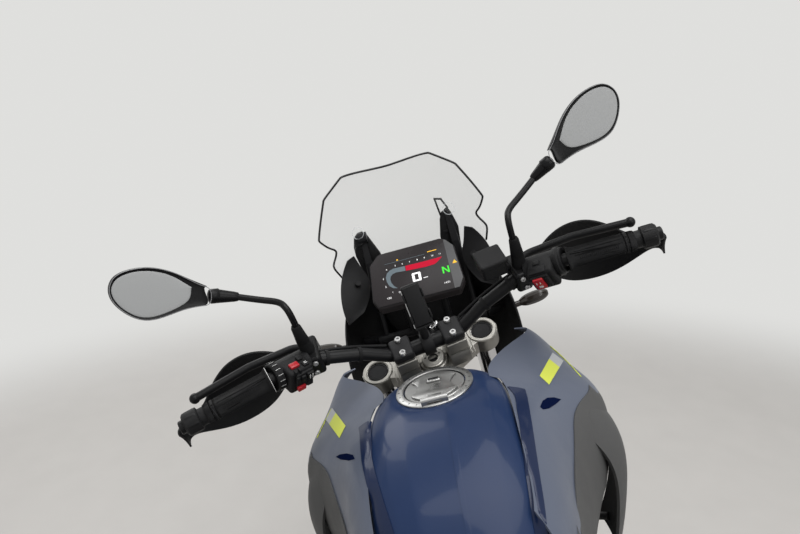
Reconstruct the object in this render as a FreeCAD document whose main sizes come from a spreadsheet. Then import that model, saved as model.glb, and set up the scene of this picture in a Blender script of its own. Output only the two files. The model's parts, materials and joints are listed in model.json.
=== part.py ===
# Adventure motorcycle, parked on its side stand with the steering turned a little to the left.
# It is drawn upright first: x to the right, y forward, z up, in millimetres, with y = 0 midway
# between the axles and z = 0 on the ground. Pieces that steer are drawn in the steering frame:
# x to the right, y forward square to the steering axis, z up along that axis.
import FreeCAD, Part
import math
import os

import Sketcher
from FreeCAD import Placement, Rotation, Vector

doc = FreeCAD.newDocument("adventure_motorcycle")
X_AXIS = Vector(1, 0, 0)
Y_AXIS = Vector(0, 1, 0)
Z_AXIS = Vector(0, 0, 1)

# Driving dimensions: name, value in millimetres or degrees or a count, what it is.
SIZES = (
    ("wheelbase", 1559, "axle to axle"),
    ("rake", 27, "steering axis from upright, degrees"),
    ("trail", 104.5, "front contact point behind the steering axis"),
    ("lean", 14, "lean to the left on the side stand, degrees"),
    ("steer_rest", 10.3, "steering turned left as parked, degrees"),
    ("head_height", 1000, "height of the steering frame's origin on the steering axis"),
    ("front_radius", 329.3, "front tyre 110/80-19, outer radius"),
    ("front_width", 110, "front tyre section width"),
    ("front_rim", 241.3, "front rim bead seat radius"),
    ("front_crown", 60, "front tyre crown radius"),
    ("front_bead", 32, "half the front rim's inner width"),
    ("rear_radius", 320.9, "rear tyre 150/70-17, outer radius"),
    ("rear_width", 150, "rear tyre section width"),
    ("rear_rim", 215.9, "rear rim bead seat radius"),
    ("rear_crown", 88, "rear tyre crown radius"),
    ("rear_bead", 54, "half the rear rim's inner width"),
    ("carcass", 12, "tyre wall thickness"),
    ("flange", 12, "rim flange height above the bead seat"),
    ("flange_wall", 5, "rim flange thickness"),
    ("well", 18, "rim well depth below the bead seat"),
    ("rim_wall", 7, "rim barrel thickness"),
    ("hub_radius", 34, "hub outer radius"),
    ("front_hub_half", 72, "half the front hub's length"),
    ("rear_hub_half", 104, "half the rear hub's length"),
    ("spoke_count", 5, "double spokes in each wheel"),
    ("spoke_depth", 30, "spoke depth along the axle"),
    ("axle_radius", 12.5, "axle outer radius"),
    ("axle_bore", 9, "hollow axle bore radius"),
    ("axle_play", 0.08, "running clearance between hub and axle"),
    ("front_disc", 152.5, "front brake disc outer radius"),
    ("rear_disc", 132.5, "rear brake disc outer radius"),
    ("disc_thick", 5, "brake disc thickness"),
    ("front_disc_x", 58, "front brake disc off the wheel's mid-plane"),
    ("rear_disc_x", 64, "rear brake disc off the wheel's mid-plane"),
    ("fork_half", 104, "fork leg off the mid-plane"),
    ("fork_offset", 30, "fork leg ahead of the steering axis"),
    ("stanchion", 20.5, "fork stanchion radius"),
    ("slider", 27, "fork slider radius"),
    ("clamp_ring", 29, "upper clamp ring radius"),
    ("clamp_thick", 30, "upper clamp thickness"),
    ("clamp_top", -8, "upper clamp top face in the steering frame"),
    ("lower_clamp", -205, "lower clamp mid height in the steering frame"),
    ("head_radius", 31, "steering head tube outer radius"),
    ("stem_radius", 15, "steering stem radius"),
    ("riser_half", 47, "handlebar riser off the mid-plane"),
    ("riser_height", 52, "handlebar centre above the upper clamp's top face"),
    ("bar_radius", 14, "handlebar radius"),
    ("grip_radius", 17, "grip radius"),
    ("panel_wall", 3, "fairing panel thickness"),
    ("screen_wall", 4, "windscreen thickness"),
    ("pivot_height", 405, "swingarm pivot height"),
    ("pivot_y", -185, "swingarm pivot forward position"),
    ("pivot_radius", 14, "swingarm pivot bolt radius"),
    ("arm_half", 126.5, "swingarm beam off the mid-plane"),
    ("chain_x", -98, "chain line off the mid-plane"),
    ("chain_pitch", 15.875, "chain pitch"),
    ("rear_teeth", 41, "rear sprocket teeth"),
    ("front_teeth", 17, "drive sprocket teeth"),
    ("stand_x", -165, "side stand pivot off the mid-plane"),
    ("stand_y", 10, "side stand pivot forward position"),
    ("stand_z", 250, "side stand pivot height"),
    ("stand_splay", 27, "side stand leg outwards from the mid-plane, degrees"),
    ("stand_rake", 12, "side stand leg forwards of square, onto its stop, degrees"),
    ("cap_y", 246, "fuel cap centre forward position"),
    ("cap_z", 1015, "fuel cap top height"),
    ("cap_ring", 64, "fuel cap ring outer radius"),
    ("cap_lid", 50, "fuel cap lid radius"),
    ("neck_radius", 30, "fuel filler neck radius"),
    ("tube_radius", 16, "main frame tube radius"),
    ("rail_radius", 11, "rear frame tube radius"),
)

sheet = doc.addObject("Spreadsheet::Sheet", "sizes")
for row, (alias, amount, note) in enumerate(SIZES, start=1):
    sheet.set(f"A{row}", alias)
    sheet.set(f"B{row}", str(amount))
    sheet.set(f"C{row}", note)
    sheet.setAlias(f"B{row}", alias)
doc.recompute()


def written(term):
    """The term as it stands in an expression."""
    return term.text if isinstance(term, Size) else repr(float(term))


class Size(float):
    """A number from the sheet that remembers the cells it came from, so a feature can be bound to them."""

    def __new__(cls, number, text):
        made = float.__new__(cls, number)
        made.text = text
        return made

    def joined(self, other, sign, number, turned=False):
        left, right = (written(other), self.text) if turned else (self.text, written(other))
        return Size(number, f"({left} {sign} {right})")

    def __add__(self, other):
        return self.joined(other, "+", float(self) + float(other))

    def __radd__(self, other):
        return self.joined(other, "+", float(other) + float(self), True)

    def __sub__(self, other):
        return self.joined(other, "-", float(self) - float(other))

    def __rsub__(self, other):
        return self.joined(other, "-", float(other) - float(self), True)

    def __mul__(self, other):
        return self.joined(other, "*", float(self) * float(other))

    def __rmul__(self, other):
        return self.joined(other, "*", float(other) * float(self), True)

    def __truediv__(self, other):
        return self.joined(other, "/", float(self) / float(other))

    def __neg__(self):
        return Size(-float(self), f"(0 - {self.text})")


class Cells:
    """The sheet's cells by name."""

    def __getattr__(self, alias):
        return Size(float(sheet.get(alias)), f"sizes.{alias}")


size = Cells()


def bind(feature, name, term):
    """Sets a property to a size, and ties it to the sheet if the size came from there."""
    if isinstance(term, Size):
        feature.setExpression(name, term.text)
    else:
        setattr(feature, name, float(term))


# Where the machine stands and how the steering is turned.

AXLE_Y = float(size.wheelbase) / 2
RAKE = math.radians(size.rake)
GROUND_Y = AXLE_Y + float(size.trail)
HEAD = Vector(0, GROUND_Y - float(size.head_height) * math.tan(RAKE), float(size.head_height))
STEERING_FRAME = Placement(HEAD, Rotation(X_AXIS, float(size.rake)))
STEERED = STEERING_FRAME.multiply(Placement(Vector(), Rotation(Z_AXIS, float(size.steer_rest))))
REAR_AXLE = Vector(0, -AXLE_Y, float(size.rear_radius))
FRONT_AXLE = STEERING_FRAME.inverse().multVec(Vector(0, AXLE_Y, float(size.front_radius)))


def lowest(centre, axle, ring, crown):
    """The lowest height of a tyre whose crown is an arc of that radius round a ring."""
    return centre.z - ring * math.sqrt(1 - axle.z**2) - crown


def standing():
    """The machine's place on its two tyres, leaned to the left: lean, the small pitch, height."""
    pitch = 0.0
    for _ in range(8):
        turn = Rotation(X_AXIS, pitch).multiply(Rotation(Y_AXIS, -float(size.lean)))
        front = turn.multVec(STEERED.multVec(FRONT_AXLE))
        front_axle = turn.multVec(STEERED.Rotation.multVec(X_AXIS))
        rear = turn.multVec(REAR_AXLE)
        rear_axle = turn.multVec(X_AXIS)
        low_front = lowest(front, front_axle, size.front_radius - size.front_crown, size.front_crown)
        low_rear = lowest(rear, rear_axle, size.rear_radius - size.rear_crown, size.rear_crown)
        pitch -= math.degrees((low_front - low_rear) / float(size.wheelbase))
    return Placement(Vector(0, 0, -low_rear), turn)


BIKE = standing()
FORK = BIKE.multiply(STEERED)
FRONT_WHEEL = FORK.multiply(Placement(FRONT_AXLE, Rotation()))
REAR_WHEEL = BIKE.multiply(Placement(REAR_AXLE, Rotation()))
pieces = []


def keep(shape_object, label, place):
    """Names a finished piece, puts it in its place and lists it for writing."""
    shape_object.Label = label
    shape_object.Placement = place
    pieces.append(shape_object)
    return shape_object


def feature(label, shape, place):
    """A piece whose shape is made here from faces, lofts or sweeps."""
    made = doc.addObject("Part::Feature", label)
    made.Shape = shape
    return keep(made, label, place)


# Sketches and features of a body.


def new_body(label, place):
    return keep(doc.addObject("PartDesign::Body", label), label, place)


def origin(body, role):
    return next(f for f in body.Origin.OriginFeatures if f.Role == role)


def outline(body, plane, paths, lift=0):
    """A sketch of closed paths on one of the body's planes. A path's entries are corners (x, y),
    rings ("ring", x, y, radius), and ("via", x, y), a point that an arc between two corners passes."""
    sketch = body.newObject("Sketcher::SketchObject", "outline")
    sketch.AttachmentSupport = [(origin(body, plane), "")]
    sketch.MapMode = "FlatFace"
    if isinstance(lift, Size):
        bind(sketch, ".AttachmentOffset.Base.z", lift)
    else:
        sketch.AttachmentOffset = Placement(Vector(0, 0, lift), Rotation())
    for path in paths:
        if path[0] == "ring":
            _, x, y, radius = path
            number = sketch.addGeometry(Part.Circle(Vector(x, y, 0), Z_AXIS, radius))
            pin(sketch, number, 3, x, y)
            tie(sketch, Sketcher.Constraint("Radius", number, float(radius)), radius)
        else:
            closed_path(sketch, path)
    return sketch


def tie(sketch, constraint, term):
    number = sketch.addConstraint(constraint)
    if isinstance(term, Size):
        sketch.setExpression(f"Constraints[{number}]", term.text)


def pin(sketch, number, end, x, y):
    """Holds one end of an edge at its distances from the sketch's origin."""
    tie(sketch, Sketcher.Constraint("DistanceX", -1, 1, number, end, float(x)), x)
    tie(sketch, Sketcher.Constraint("DistanceY", -1, 1, number, end, float(y)), y)


def closed_path(sketch, path):
    """Draws one closed path. An arc is kept anticlockwise, as sketches have it, so its ends may swap."""
    corners = [i for i, entry in enumerate(path) if entry[0] != "via"]
    edges = []
    for place, start in enumerate(corners):
        stop = corners[(place + 1) % len(corners)]
        first, last = (Vector(*path[i], 0) for i in (start, stop))
        swapped = False
        if (start + 1) % len(path) == stop:
            edge = Part.LineSegment(first, last)
        else:
            via = Vector(*path[start + 1][1:], 0)
            swapped = (via - first).cross(last - via).z < 0
            edge = Part.Arc(last, via, first) if swapped else Part.Arc(first, via, last)
        edges.append((sketch.addGeometry(edge), swapped))
    for place, (number, swapped) in enumerate(edges):
        pin(sketch, number, 2 if swapped else 1, *path[corners[place]])
        follower, follower_swapped = edges[(place + 1) % len(edges)]
        ends = (number, 1 if swapped else 2, follower, 2 if follower_swapped else 1)
        sketch.addConstraint(Sketcher.Constraint("Coincident", *ends))


def pad(body, sketch, length, middle=True, reverse=False):
    made = body.newObject("PartDesign::Pad", "pad")
    made.Profile = sketch
    made.SideType = "Symmetric" if middle else "One side"
    made.Reversed = reverse
    bind(made, "Length", length)
    return made


def pocket(body, sketch, length, middle=True, reverse=False):
    made = body.newObject("PartDesign::Pocket", "pocket")
    made.Profile = sketch
    made.SideType = "Symmetric" if middle else "One side"
    made.Reversed = reverse
    bind(made, "Length", length)
    return made


def turned(body, sketch, role="X_Axis", cut=False):
    """A revolution, or a groove, of a sketch about one of the body's axes."""
    made = body.newObject("PartDesign::Groove" if cut else "PartDesign::Revolution", "turned")
    made.Profile = sketch
    made.ReferenceAxis = (origin(body, role), [""])
    made.Angle = 360
    return made


def ring_of(body, features, count, role="X_Axis"):
    """Repeats features evenly round one of the body's axes."""
    made = body.newObject("PartDesign::PolarPattern", "ring")
    made.Originals = features
    made.Axis = (origin(body, role), [""])
    made.Angle = 360
    made.Occurrences = int(count)
    body.Tip = made
    return made


# Lofts, sweeps and shells from named points.


def closed_wire(points):
    return Part.makePolygon(list(points) + [points[0]])


def bent_path(points, bend):
    """Straight runs between points, joined by tangent arcs of one radius, less where a run is short."""
    edges, last = [], points[0]
    for before, corner, after in zip(points, points[1:], points[2:]):
        into, out = (corner - before).normalize(), (after - corner).normalize()
        half = into.getAngle(out) / 2
        if half < 0.01:
            continue
        room = 0.45 * min(before.distanceToPoint(corner), corner.distanceToPoint(after))
        reach = min(bend * math.tan(half), room)
        radius = reach / math.tan(half)
        start, end = corner - into * reach, corner + out * reach
        bisector = (out - into).normalize()
        middle = corner + bisector * (radius / math.cos(half) - radius)
        edges.append(Part.LineSegment(last, start).toShape())
        edges.append(Part.Arc(start, middle, end).toShape())
        last = end
    edges.append(Part.LineSegment(last, points[-1]).toShape())
    return Part.Wire(edges)


def tube(points, radius, bend=60, bore=0):
    """A round bar or tube along a bent path."""
    path = bent_path([Vector(*p) for p in points], bend)
    start = path.Edges[0]
    along = start.tangentAt(start.FirstParameter)
    at = start.valueAt(start.FirstParameter)
    made = path.makePipe(Part.Face(Part.Wire(Part.makeCircle(radius, at, along))))
    if bore:
        made = made.cut(path.makePipe(Part.Face(Part.Wire(Part.makeCircle(bore, at, along)))))
    return made


def mirrored(shape):
    return shape.mirror(Vector(), X_AXIS)


def both_sides(shape):
    """A shape and its mirror image, as two solids that don't touch."""
    return Part.makeCompound([shape, mirrored(shape)])


def joined(shapes):
    first, *rest = shapes
    return first.multiFuse(rest).removeSplitter() if rest else first


def loft(sections, ruled=False):
    """A solid through closed sections, each a list of points."""
    wires = [closed_wire([Vector(*p) for p in section]) for section in sections]
    return Part.makeLoft(wires, True, ruled)


def block(low, high):
    """A box between two corners."""
    low, high = Vector(*low), Vector(*high)
    return Part.makeBox(high.x - low.x, high.y - low.y, high.z - low.z, low)


def rounded(shape, radius):
    """Rounds all the edges of a plain block."""
    return shape.makeFillet(radius, shape.Edges)


def rod(start, end, radius):
    start, end = Vector(*start), Vector(*end)
    return Part.makeCylinder(radius, start.distanceToPoint(end), start, end - start)


# Wheels.


def tyre(label, rim, radius, width, crown, bead, place):
    """A tyre carcass, open to the rim: bead, bulging wall, round crown, and the same inside."""
    body = new_body(label, place)
    seat = rim + 0.3
    shoulder_x = width * 0.46
    sunk = float(crown) - math.sqrt(float(crown) ** 2 - float(shoulder_x) ** 2)
    shoulder = radius - sunk
    bulge = rim + (radius - rim) * 0.42
    wall = size.carcass
    inner_x = shoulder_x - wall * 0.9
    inner_sunk = (float(crown) - float(wall)) - math.sqrt((float(crown) - float(wall)) ** 2 - float(inner_x) ** 2)
    inner = radius - wall - inner_sunk
    half = width / 2
    foot = bead - 0.3
    lip = rim + size.flange + 1.5
    path = [
        (-foot, seat),
        (-foot, lip),
        ("via", -half, bulge),
        (-shoulder_x, shoulder),
        ("via", 0, radius),
        (shoulder_x, shoulder),
        ("via", half, bulge),
        (foot, lip),
        (foot, seat),
        (bead - wall, seat),
        (bead - wall, lip),
        ("via", half - wall, bulge),
        (inner_x, inner),
        ("via", 0, radius - wall),
        (-inner_x, inner),
        ("via", wall - half, bulge),
        (wall - bead, lip),
        (wall - bead, seat),
    ]
    turned(body, outline(body, "XY_Plane", [path]))


def rim(label, seat, bead, hub_half, place):
    """A cast wheel: barrel with a well, hub, and double spokes with open windows."""
    body = new_body(label, place)
    edge = bead + size.flange_wall
    lip = seat + size.flange
    floor = seat - size.well
    shelf = bead - 14
    wall = size.rim_wall
    barrel = [
        (-edge, seat - wall),
        (-edge, lip),
        (-bead, lip),
        (-bead, seat),
        (-shelf, seat),
        (8 - shelf, floor),
        (shelf - 8, floor),
        (shelf, seat),
        (bead, seat),
        (bead, lip),
        (edge, lip),
        (edge, seat - wall),
        (shelf + 2, seat - wall),
        (shelf - 6, floor - wall),
        (6 - shelf, floor - wall),
        (-shelf - 2, seat - wall),
    ]
    turned(body, outline(body, "XY_Plane", [barrel]))
    bore = size.axle_radius + size.axle_play
    hub = [
        (-hub_half, bore),
        (-hub_half, size.hub_radius - 6),
        (6 - hub_half, size.hub_radius),
        (hub_half - 6, size.hub_radius),
        (hub_half, size.hub_radius - 6),
        (hub_half, bore),
    ]
    inside = floor - wall + 2
    root = size.hub_radius - 8
    spoke = [(-16, root), (-50, inside), (50, inside), (16, root)]
    window = [(0, root + 62), (-33, inside - 24), (33, inside - 24)]
    first = pad(body, outline(body, "YZ_Plane", [spoke, window]), size.spoke_depth)
    ring_of(body, [first], size.spoke_count)
    turned(body, outline(body, "XY_Plane", [hub]))


def discs(label, outer, offset, sides, place, holes):
    """Drilled brake discs with their carrier arms, off to the named sides of the wheel."""
    body = new_body(label, place)
    track = outer - 34
    nave = size.hub_radius
    for side in sides:
        lift = offset * side
        face = outline(body, "YZ_Plane", [("ring", 0, 0, outer), ("ring", 0, 0, track)], lift)
        pad(body, face, size.disc_thick)
        for turn in range(int(size.spoke_count)):
            arms = pad(body, outline(body, "YZ_Plane", [carrier_arm(nave, track, turn)], lift), size.disc_thick)
        centre = outline(body, "YZ_Plane", [("ring", 0, 0, nave + 16), ("ring", 0, 0, nave)], lift)
        pad(body, centre, size.disc_thick)
    for depth in (9, 24):
        pocket_ring(body, holes, outer, depth)


def carrier_arm(nave, track, number):
    """One arm of a disc's carrier, turned to its place by number."""
    turn = 2 * math.pi * number / float(size.spoke_count)
    cos, sin = math.cos(turn), math.sin(turn)
    flat = [(-11, nave + 10), (-7, track + 6), (7, track + 6), (11, nave + 10)]
    return [(y * sin + x * cos, y * cos - x * sin) for x, y in flat]


def pocket_ring(body, holes, outer, depth):
    """A ring of holes through the brake discs, at one depth from their edge."""
    turn = math.radians(depth * 2)
    reach = outer - depth
    hole = outline(body, "YZ_Plane", [("ring", reach * math.sin(turn), reach * math.cos(turn), 3.2)])
    ring_of(body, [pocket(body, hole, size.front_hub_half * 3)], holes)


tyre("front_tyre", size.front_rim, size.front_radius, size.front_width, size.front_crown,
     size.front_bead, FRONT_WHEEL)
rim("front_rim", size.front_rim, size.front_bead, size.front_hub_half, FRONT_WHEEL)
discs("front_discs", size.front_disc, size.front_disc_x, (-1, 1), FRONT_WHEEL, 15)
tyre("rear_tyre", size.rear_rim, size.rear_radius, size.rear_width, size.rear_crown,
     size.rear_bead, REAR_WHEEL)
rim("rear_rim", size.rear_rim, size.rear_bead, size.rear_hub_half, REAR_WHEEL)
discs("rear_disc", size.rear_disc, size.rear_disc_x, (1,), REAR_WHEEL, 12)


# Shapes shared by the pieces below.


def turned_part(profile, start, sweep, centre=(0, 0, 0)):
    """Turns a profile of (x, radius) points about an axle along x. Angles run from forward to up."""
    face = Part.Face(closed_wire([Vector(x, radius, 0) for x, radius in profile]))
    made = face.rotate(Vector(), X_AXIS, start) or face
    made = made.revolve(Vector(), X_AXIS, sweep)
    made.translate(Vector(*centre))
    return made


def less(shape, *others):
    """A shape without the room its neighbours take, so that they meet face to face."""
    for other in others:
        shape = shape.cut(other)
    return shape


def largest(shape):
    """The main solid of a shape, without crumbs that a cut left."""
    return max(shape.Solids, key=lambda solid: solid.Volume)


def lathe(profile, base, direction):
    """A solid turned from (radius, height) points about an axis that starts at base."""
    face = Part.Face(closed_wire([Vector(radius, 0, height) for radius, height in profile]))
    made = face.revolve(Vector(), Z_AXIS, 360)
    made.Placement = Placement(Vector(*base), Rotation(Z_AXIS, Vector(*direction)))
    return made


def slab(corners, along):
    """A prism: a flat polygon of points carried along a vector."""
    return Part.Face(closed_wire([Vector(*c) for c in corners])).extrude(Vector(*along))


def skin(rows, wall):
    """A shell of even thickness under a smooth surface through rows of points."""
    surface = Part.BSplineSurface()
    surface.interpolate([[Vector(*p) for p in row] for row in rows])
    return surface.toShape().makeOffsetShape(wall, 1e-3, fill=True)


# Steering: clamps, fork, axle.

FORK_X, FORK_Y = float(size.fork_half), float(size.fork_offset)
TOP = float(size.clamp_top)
AXLE = FRONT_AXLE


def clamp(label, top, thick, ring, boss):
    """A fork clamp: a lobe round each leg and a boss round the stem, bored for all three."""
    body = new_body(label, FORK)
    x, y = size.fork_half, size.fork_offset
    path = [
        (x - ring * 0.6, y + ring * 0.8),
        (38, 22),
        (-38, 22),
        (ring * 0.6 - x, y + ring * 0.8),
        ("via", -x - ring, y),
        (ring * 0.6 - x, y - ring * 0.8),
        (-boss, -18),
        ("via", 0, -boss),
        (boss, -18),
        (x - ring * 0.6, y - ring * 0.8),
        ("via", x + ring, y),
    ]
    bores = [("ring", side * x, y, size.stanchion) for side in (-1, 1)]
    bores.append(("ring", 0, 0, size.stem_radius))
    pad(body, outline(body, "XY_Plane", [path, *bores], top - thick), thick, middle=False)
    return body


clamp("upper_clamp", size.clamp_top, size.clamp_thick, size.clamp_ring, 34)
stem = clamp("lower_clamp", size.lower_clamp + 20, 40, size.clamp_ring + 3, 38)

stem_foot = size.lower_clamp - 20
pad(stem, outline(stem, "XY_Plane", [("ring", 0, 0, size.stem_radius)], stem_foot),
    size.clamp_top - stem_foot, middle=False)
nut_flange = outline(stem, "XY_Plane", [("ring", 0, 0, 24.5)], size.clamp_top)
pad(stem, nut_flange, 9, middle=False)
hexagon = [(19 * math.cos(math.radians(a)), 19 * math.sin(math.radians(a))) for a in range(0, 360, 60)]
pad(stem, outline(stem, "XY_Plane", [hexagon], size.clamp_top + 9), 6, middle=False)
pocket(stem, outline(stem, "XY_Plane", [("ring", 0, 0, 9)], size.clamp_top + 15), 14, middle=False)

legs = new_body("fork_stanchions", FORK)
leg_rings = [("ring", side * size.fork_half, size.fork_offset, size.stanchion) for side in (-1, 1)]
pad(legs, outline(legs, "XY_Plane", leg_rings, -630), 630 - 12, middle=False)

cap_shape = lathe([(0, 0), (19.5, 0), (19.5, 5), (17.5, 7), (12, 7), (12, 10), (0, 10)],
                  (FORK_X, FORK_Y, -12), (0, 0, 1))
feature("fork_caps", both_sides(cap_shape), FORK)

slider_body = lathe([(0, -806), (22, -806), (27, -800), (27, -448), (30, -444), (30, -430), (20.5, -430),
                     (20.5, -630), (0, -630)], (FORK_X, FORK_Y, 0), (0, 0, 1))
lug = rod((78, AXLE.y, AXLE.z), (132, AXLE.y, AXLE.z), 25)
slider = joined([slider_body, lug])
slider = slider.cut(rod((60, AXLE.y, AXLE.z), (150, AXLE.y, AXLE.z), float(size.axle_radius)))
slider = slider.cut(rod((FORK_X, FORK_Y, -625), (FORK_X, FORK_Y, -420), float(size.stanchion)))
feature("fork_sliders", both_sides(slider), FORK)

front_axle = new_body("front_axle", FORK.multiply(Placement(AXLE, Rotation())))
axle_rings = [("ring", 0, 0, size.axle_radius), ("ring", 0, 0, size.axle_bore)]
pad(front_axle, outline(front_axle, "YZ_Plane", axle_rings), 2 * 138)


def caliper(slot_x, centre, start, sweep, disc):
    """A brake caliper on the right of the wheel: a U over the disc's edge, 5 mm clear of it."""
    inner, outer = slot_x - 8, slot_x + 8
    low, bridge, high = disc - 50, disc + 6, disc + 19
    profile = [(inner - 13, low), (inner - 13, high), (outer + 20, high), (outer + 20, low),
               (outer, low), (outer, bridge), (inner, bridge), (inner, low)]
    return turned_part(profile, start, sweep, centre)


front_caliper = caliper(float(size.front_disc_x), (0, AXLE.y, AXLE.z), 114, 42, float(size.front_disc))
arm = block((70, FORK_Y - 44, AXLE.z + 70), (100, FORK_Y - 10, AXLE.z + 150))
front_caliper = less(joined([front_caliper, arm]), slider)
feature("front_calipers", both_sides(front_caliper), FORK)

guard_profile = [(-66, 318), (-66, 330), (-54, 350), (-25, 358), (25, 358), (54, 350), (66, 330), (66, 318),
                 (63, 318), (63, 328.5), (52.5, 347), (24, 355), (-24, 355), (-52.5, 347), (-63, 328.5),
                 (-63, 318)]
guard = turned_part(guard_profile, 22, 92, (0, AXLE.y, AXLE.z))
stay = block((60, FORK_Y - 12, AXLE.z + 300), (80, FORK_Y + 12, AXLE.z + 336))
inside_guard = turned_part([(-63, 0), (-63, 328.5), (-52.5, 347), (-24, 355), (24, 355), (52.5, 347),
                            (63, 328.5), (63, 0)], 0, 180, (0, AXLE.y, AXLE.z))
stays = both_sides(largest(less(stay, slider, inside_guard)))
feature("front_mudguard", joined([guard, *stays.Solids]), FORK)


# Handlebar and everything on it.

BAR_HEIGHT = TOP + float(size.riser_height)
BAR = float(size.bar_radius)
GRIP_IN = Vector(261, -28, 146)
along_grip = Vector(150, -36, 13).normalize()
GRIP_END = GRIP_IN + along_grip * 110
bar_half = [(0, 5, BAR_HEIGHT), (62, 5, BAR_HEIGHT), (112, 10, 76), (195, 6, 118), tuple(GRIP_IN - along_grip * 6),
            tuple(GRIP_END)]
bar_points = [(-x, y, z) for x, y, z in bar_half[:0:-1]] + bar_half[1:]
bar = tube(bar_points, 11.1, 45)
bar = joined([bar, rod((-66, 5, BAR_HEIGHT), (66, 5, BAR_HEIGHT), BAR)])
feature("handlebar", bar, FORK)

riser = rounded(block((27, -18, TOP), (67, 28, BAR_HEIGHT + 20)), 5)
riser = less(riser, bar)
riser = joined([riser, *[rod((x, y, BAR_HEIGHT + 18), (x, y, BAR_HEIGHT + 24), 5.5)
                         for x, y in ((35, -13), (59, -13), (35, 23), (59, 23))]])
feature("bar_risers", both_sides(riser), FORK)

grip = rod(GRIP_IN, GRIP_END, float(size.grip_radius))
grip = joined([grip, rod(GRIP_IN, GRIP_IN + along_grip * 4, 21)])
feature("grips", both_sides(less(grip, bar)), FORK)

# Bar end weight: distance along the bar from the grip's end, and radius.
weight = lathe([(0, 0), (14.5, 0), (14.5, 9), (19, 11), (19, 32), (16, 35), (10, 35), (10, 42), (0, 42)],
               tuple(GRIP_END), tuple(along_grip))

pod_start, pod_end = Vector(203, 4, 121.5), Vector(252, -22, 142)
pod_middle = (pod_start + pod_end) / 2
along_pod = Rotation(X_AXIS, pod_end - pod_start)
pod = rod(pod_start, pod_end, 22)
pod_box = rounded(block((-23, -33, -22), (23, 8, 22)), 6)
pod_box.Placement = Placement(pod_middle, along_pod)
pod_face = rounded(block((-19, -37, -13), (13, -30, 17)), 3)
pod_face.Placement = Placement(pod_middle, along_pod)
collar = rod(pod_end, pod_end + (pod_end - pod_start).normalize() * 7, 20)
pod = less(joined([pod, pod_box, pod_face, collar]), bar, grip)
feature("switchgear", both_sides(largest(pod)), FORK)

perch = rounded(block((176, -12, 92), (204, 46, 134)), 6)
perch = joined([perch, rod((193, 14, 125), (193, 14, 150), 9)])
perch = less(perch, bar, pod)
lever = tube([(190, 40, 110), (222, 48, 116), (300, 34, 128), (392, 2, 140)], 7, 40)
lever = joined([lever, Part.makeSphere(9, Vector(392, 2, 140))])
lever = largest(less(joined([perch, lever]), pod))
feature("levers", both_sides(lever), FORK)

# Mirrors. A head is drawn about its ball joint: x along the head, y ahead of the glass, z up the glass.
NECK = Vector(291, 64, 274.5)
head_outline = [(0, 14), (18, 21), (34, 31), (52, 42), (74, 51), (96, 55), (118, 53.5), (136, 48), (146, 39),
                (151, 24), (147, 7), (135, -8), (120, -20), (104, -27), (86, -27), (64, -21.5), (44, -15.5),
                (22, -13), (2, -13)]
glass_outline = [(28, 12), (37, 24), (54, 35), (74, 44), (96, 48.5), (116, 47.5), (132, 42), (140, 35),
                 (145, 23), (141, 9), (131, -4.5), (117, -15.5), (103, -21), (87, -21), (67, -15.5), (48, -8),
                 (34, 1)]


def head_ring(outline_points, share, depth):
    """An outline at a share of its size about the head's middle, at a depth behind the glass."""
    middle_x, middle_z = 78, 14
    return [(middle_x + (x - middle_x) * share, depth, middle_z + (z - middle_z) * share)
            for x, z in outline_points]


head = loft([head_ring(head_outline, share, depth) for share, depth in ((1, 0), (1.02, 7), (0.94, 18), (0.7, 30))],
            True)
ball = lathe([(0, -2), (12, -2), (12, 12), (0, 12)], (-8, 13, 0), (1, 0, 0))
glass = loft([head_ring(glass_outline, 1, depth) for depth in (0, 3)], True)
head = less(joined([head, ball]), glass)
MIRROR_STEM = [(193, 14, 150), (190, 20, 222), (200, 46, 228), (228, 58, 237), (264, 74, 250)]
stem_tip = Vector(*MIRROR_STEM[-1])
mirror_stem = joined([tube(MIRROR_STEM, 5.5, 25), rod((193, 14, 150), (191.8, 16, 186), 9.5)])

# How each head is turned for the rider: side, inwards, back and along, in degrees.
HEAD_TURNS = ((-1, 25.9, 26.8, 32.9), (1, 4.5, 35.8, 21.2))
mirrors, mirror_glasses = [], []
for side, inwards, back, along in HEAD_TURNS:
    turn = Rotation(Z_AXIS, -inwards).multiply(Rotation(X_AXIS, -back)).multiply(Rotation(Y_AXIS, -along))
    ball_end = NECK + turn.multVec(Vector(-4, 13, 0))
    cone_along = (ball_end - stem_tip).normalize()
    cone_length = stem_tip.distanceToPoint(ball_end) + 2
    cone = Part.makeCone(7, 12, cone_length, stem_tip - cone_along * 4, cone_along)
    placed = [shape.copy() for shape in (head, glass)]
    for shape in placed:
        shape.Placement = Placement(NECK, turn)
    arm = less(joined([mirror_stem, cone]), lever, placed[0])
    whole = joined([placed[0], largest(arm)])
    mirrors.append(mirrored(whole) if side < 0 else whole)
    mirror_glasses.append(mirrored(placed[1]) if side < 0 else placed[1])
feature("mirrors", Part.makeCompound(mirrors), FORK)
feature("mirror_glasses", Part.makeCompound(mirror_glasses), FORK)

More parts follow.
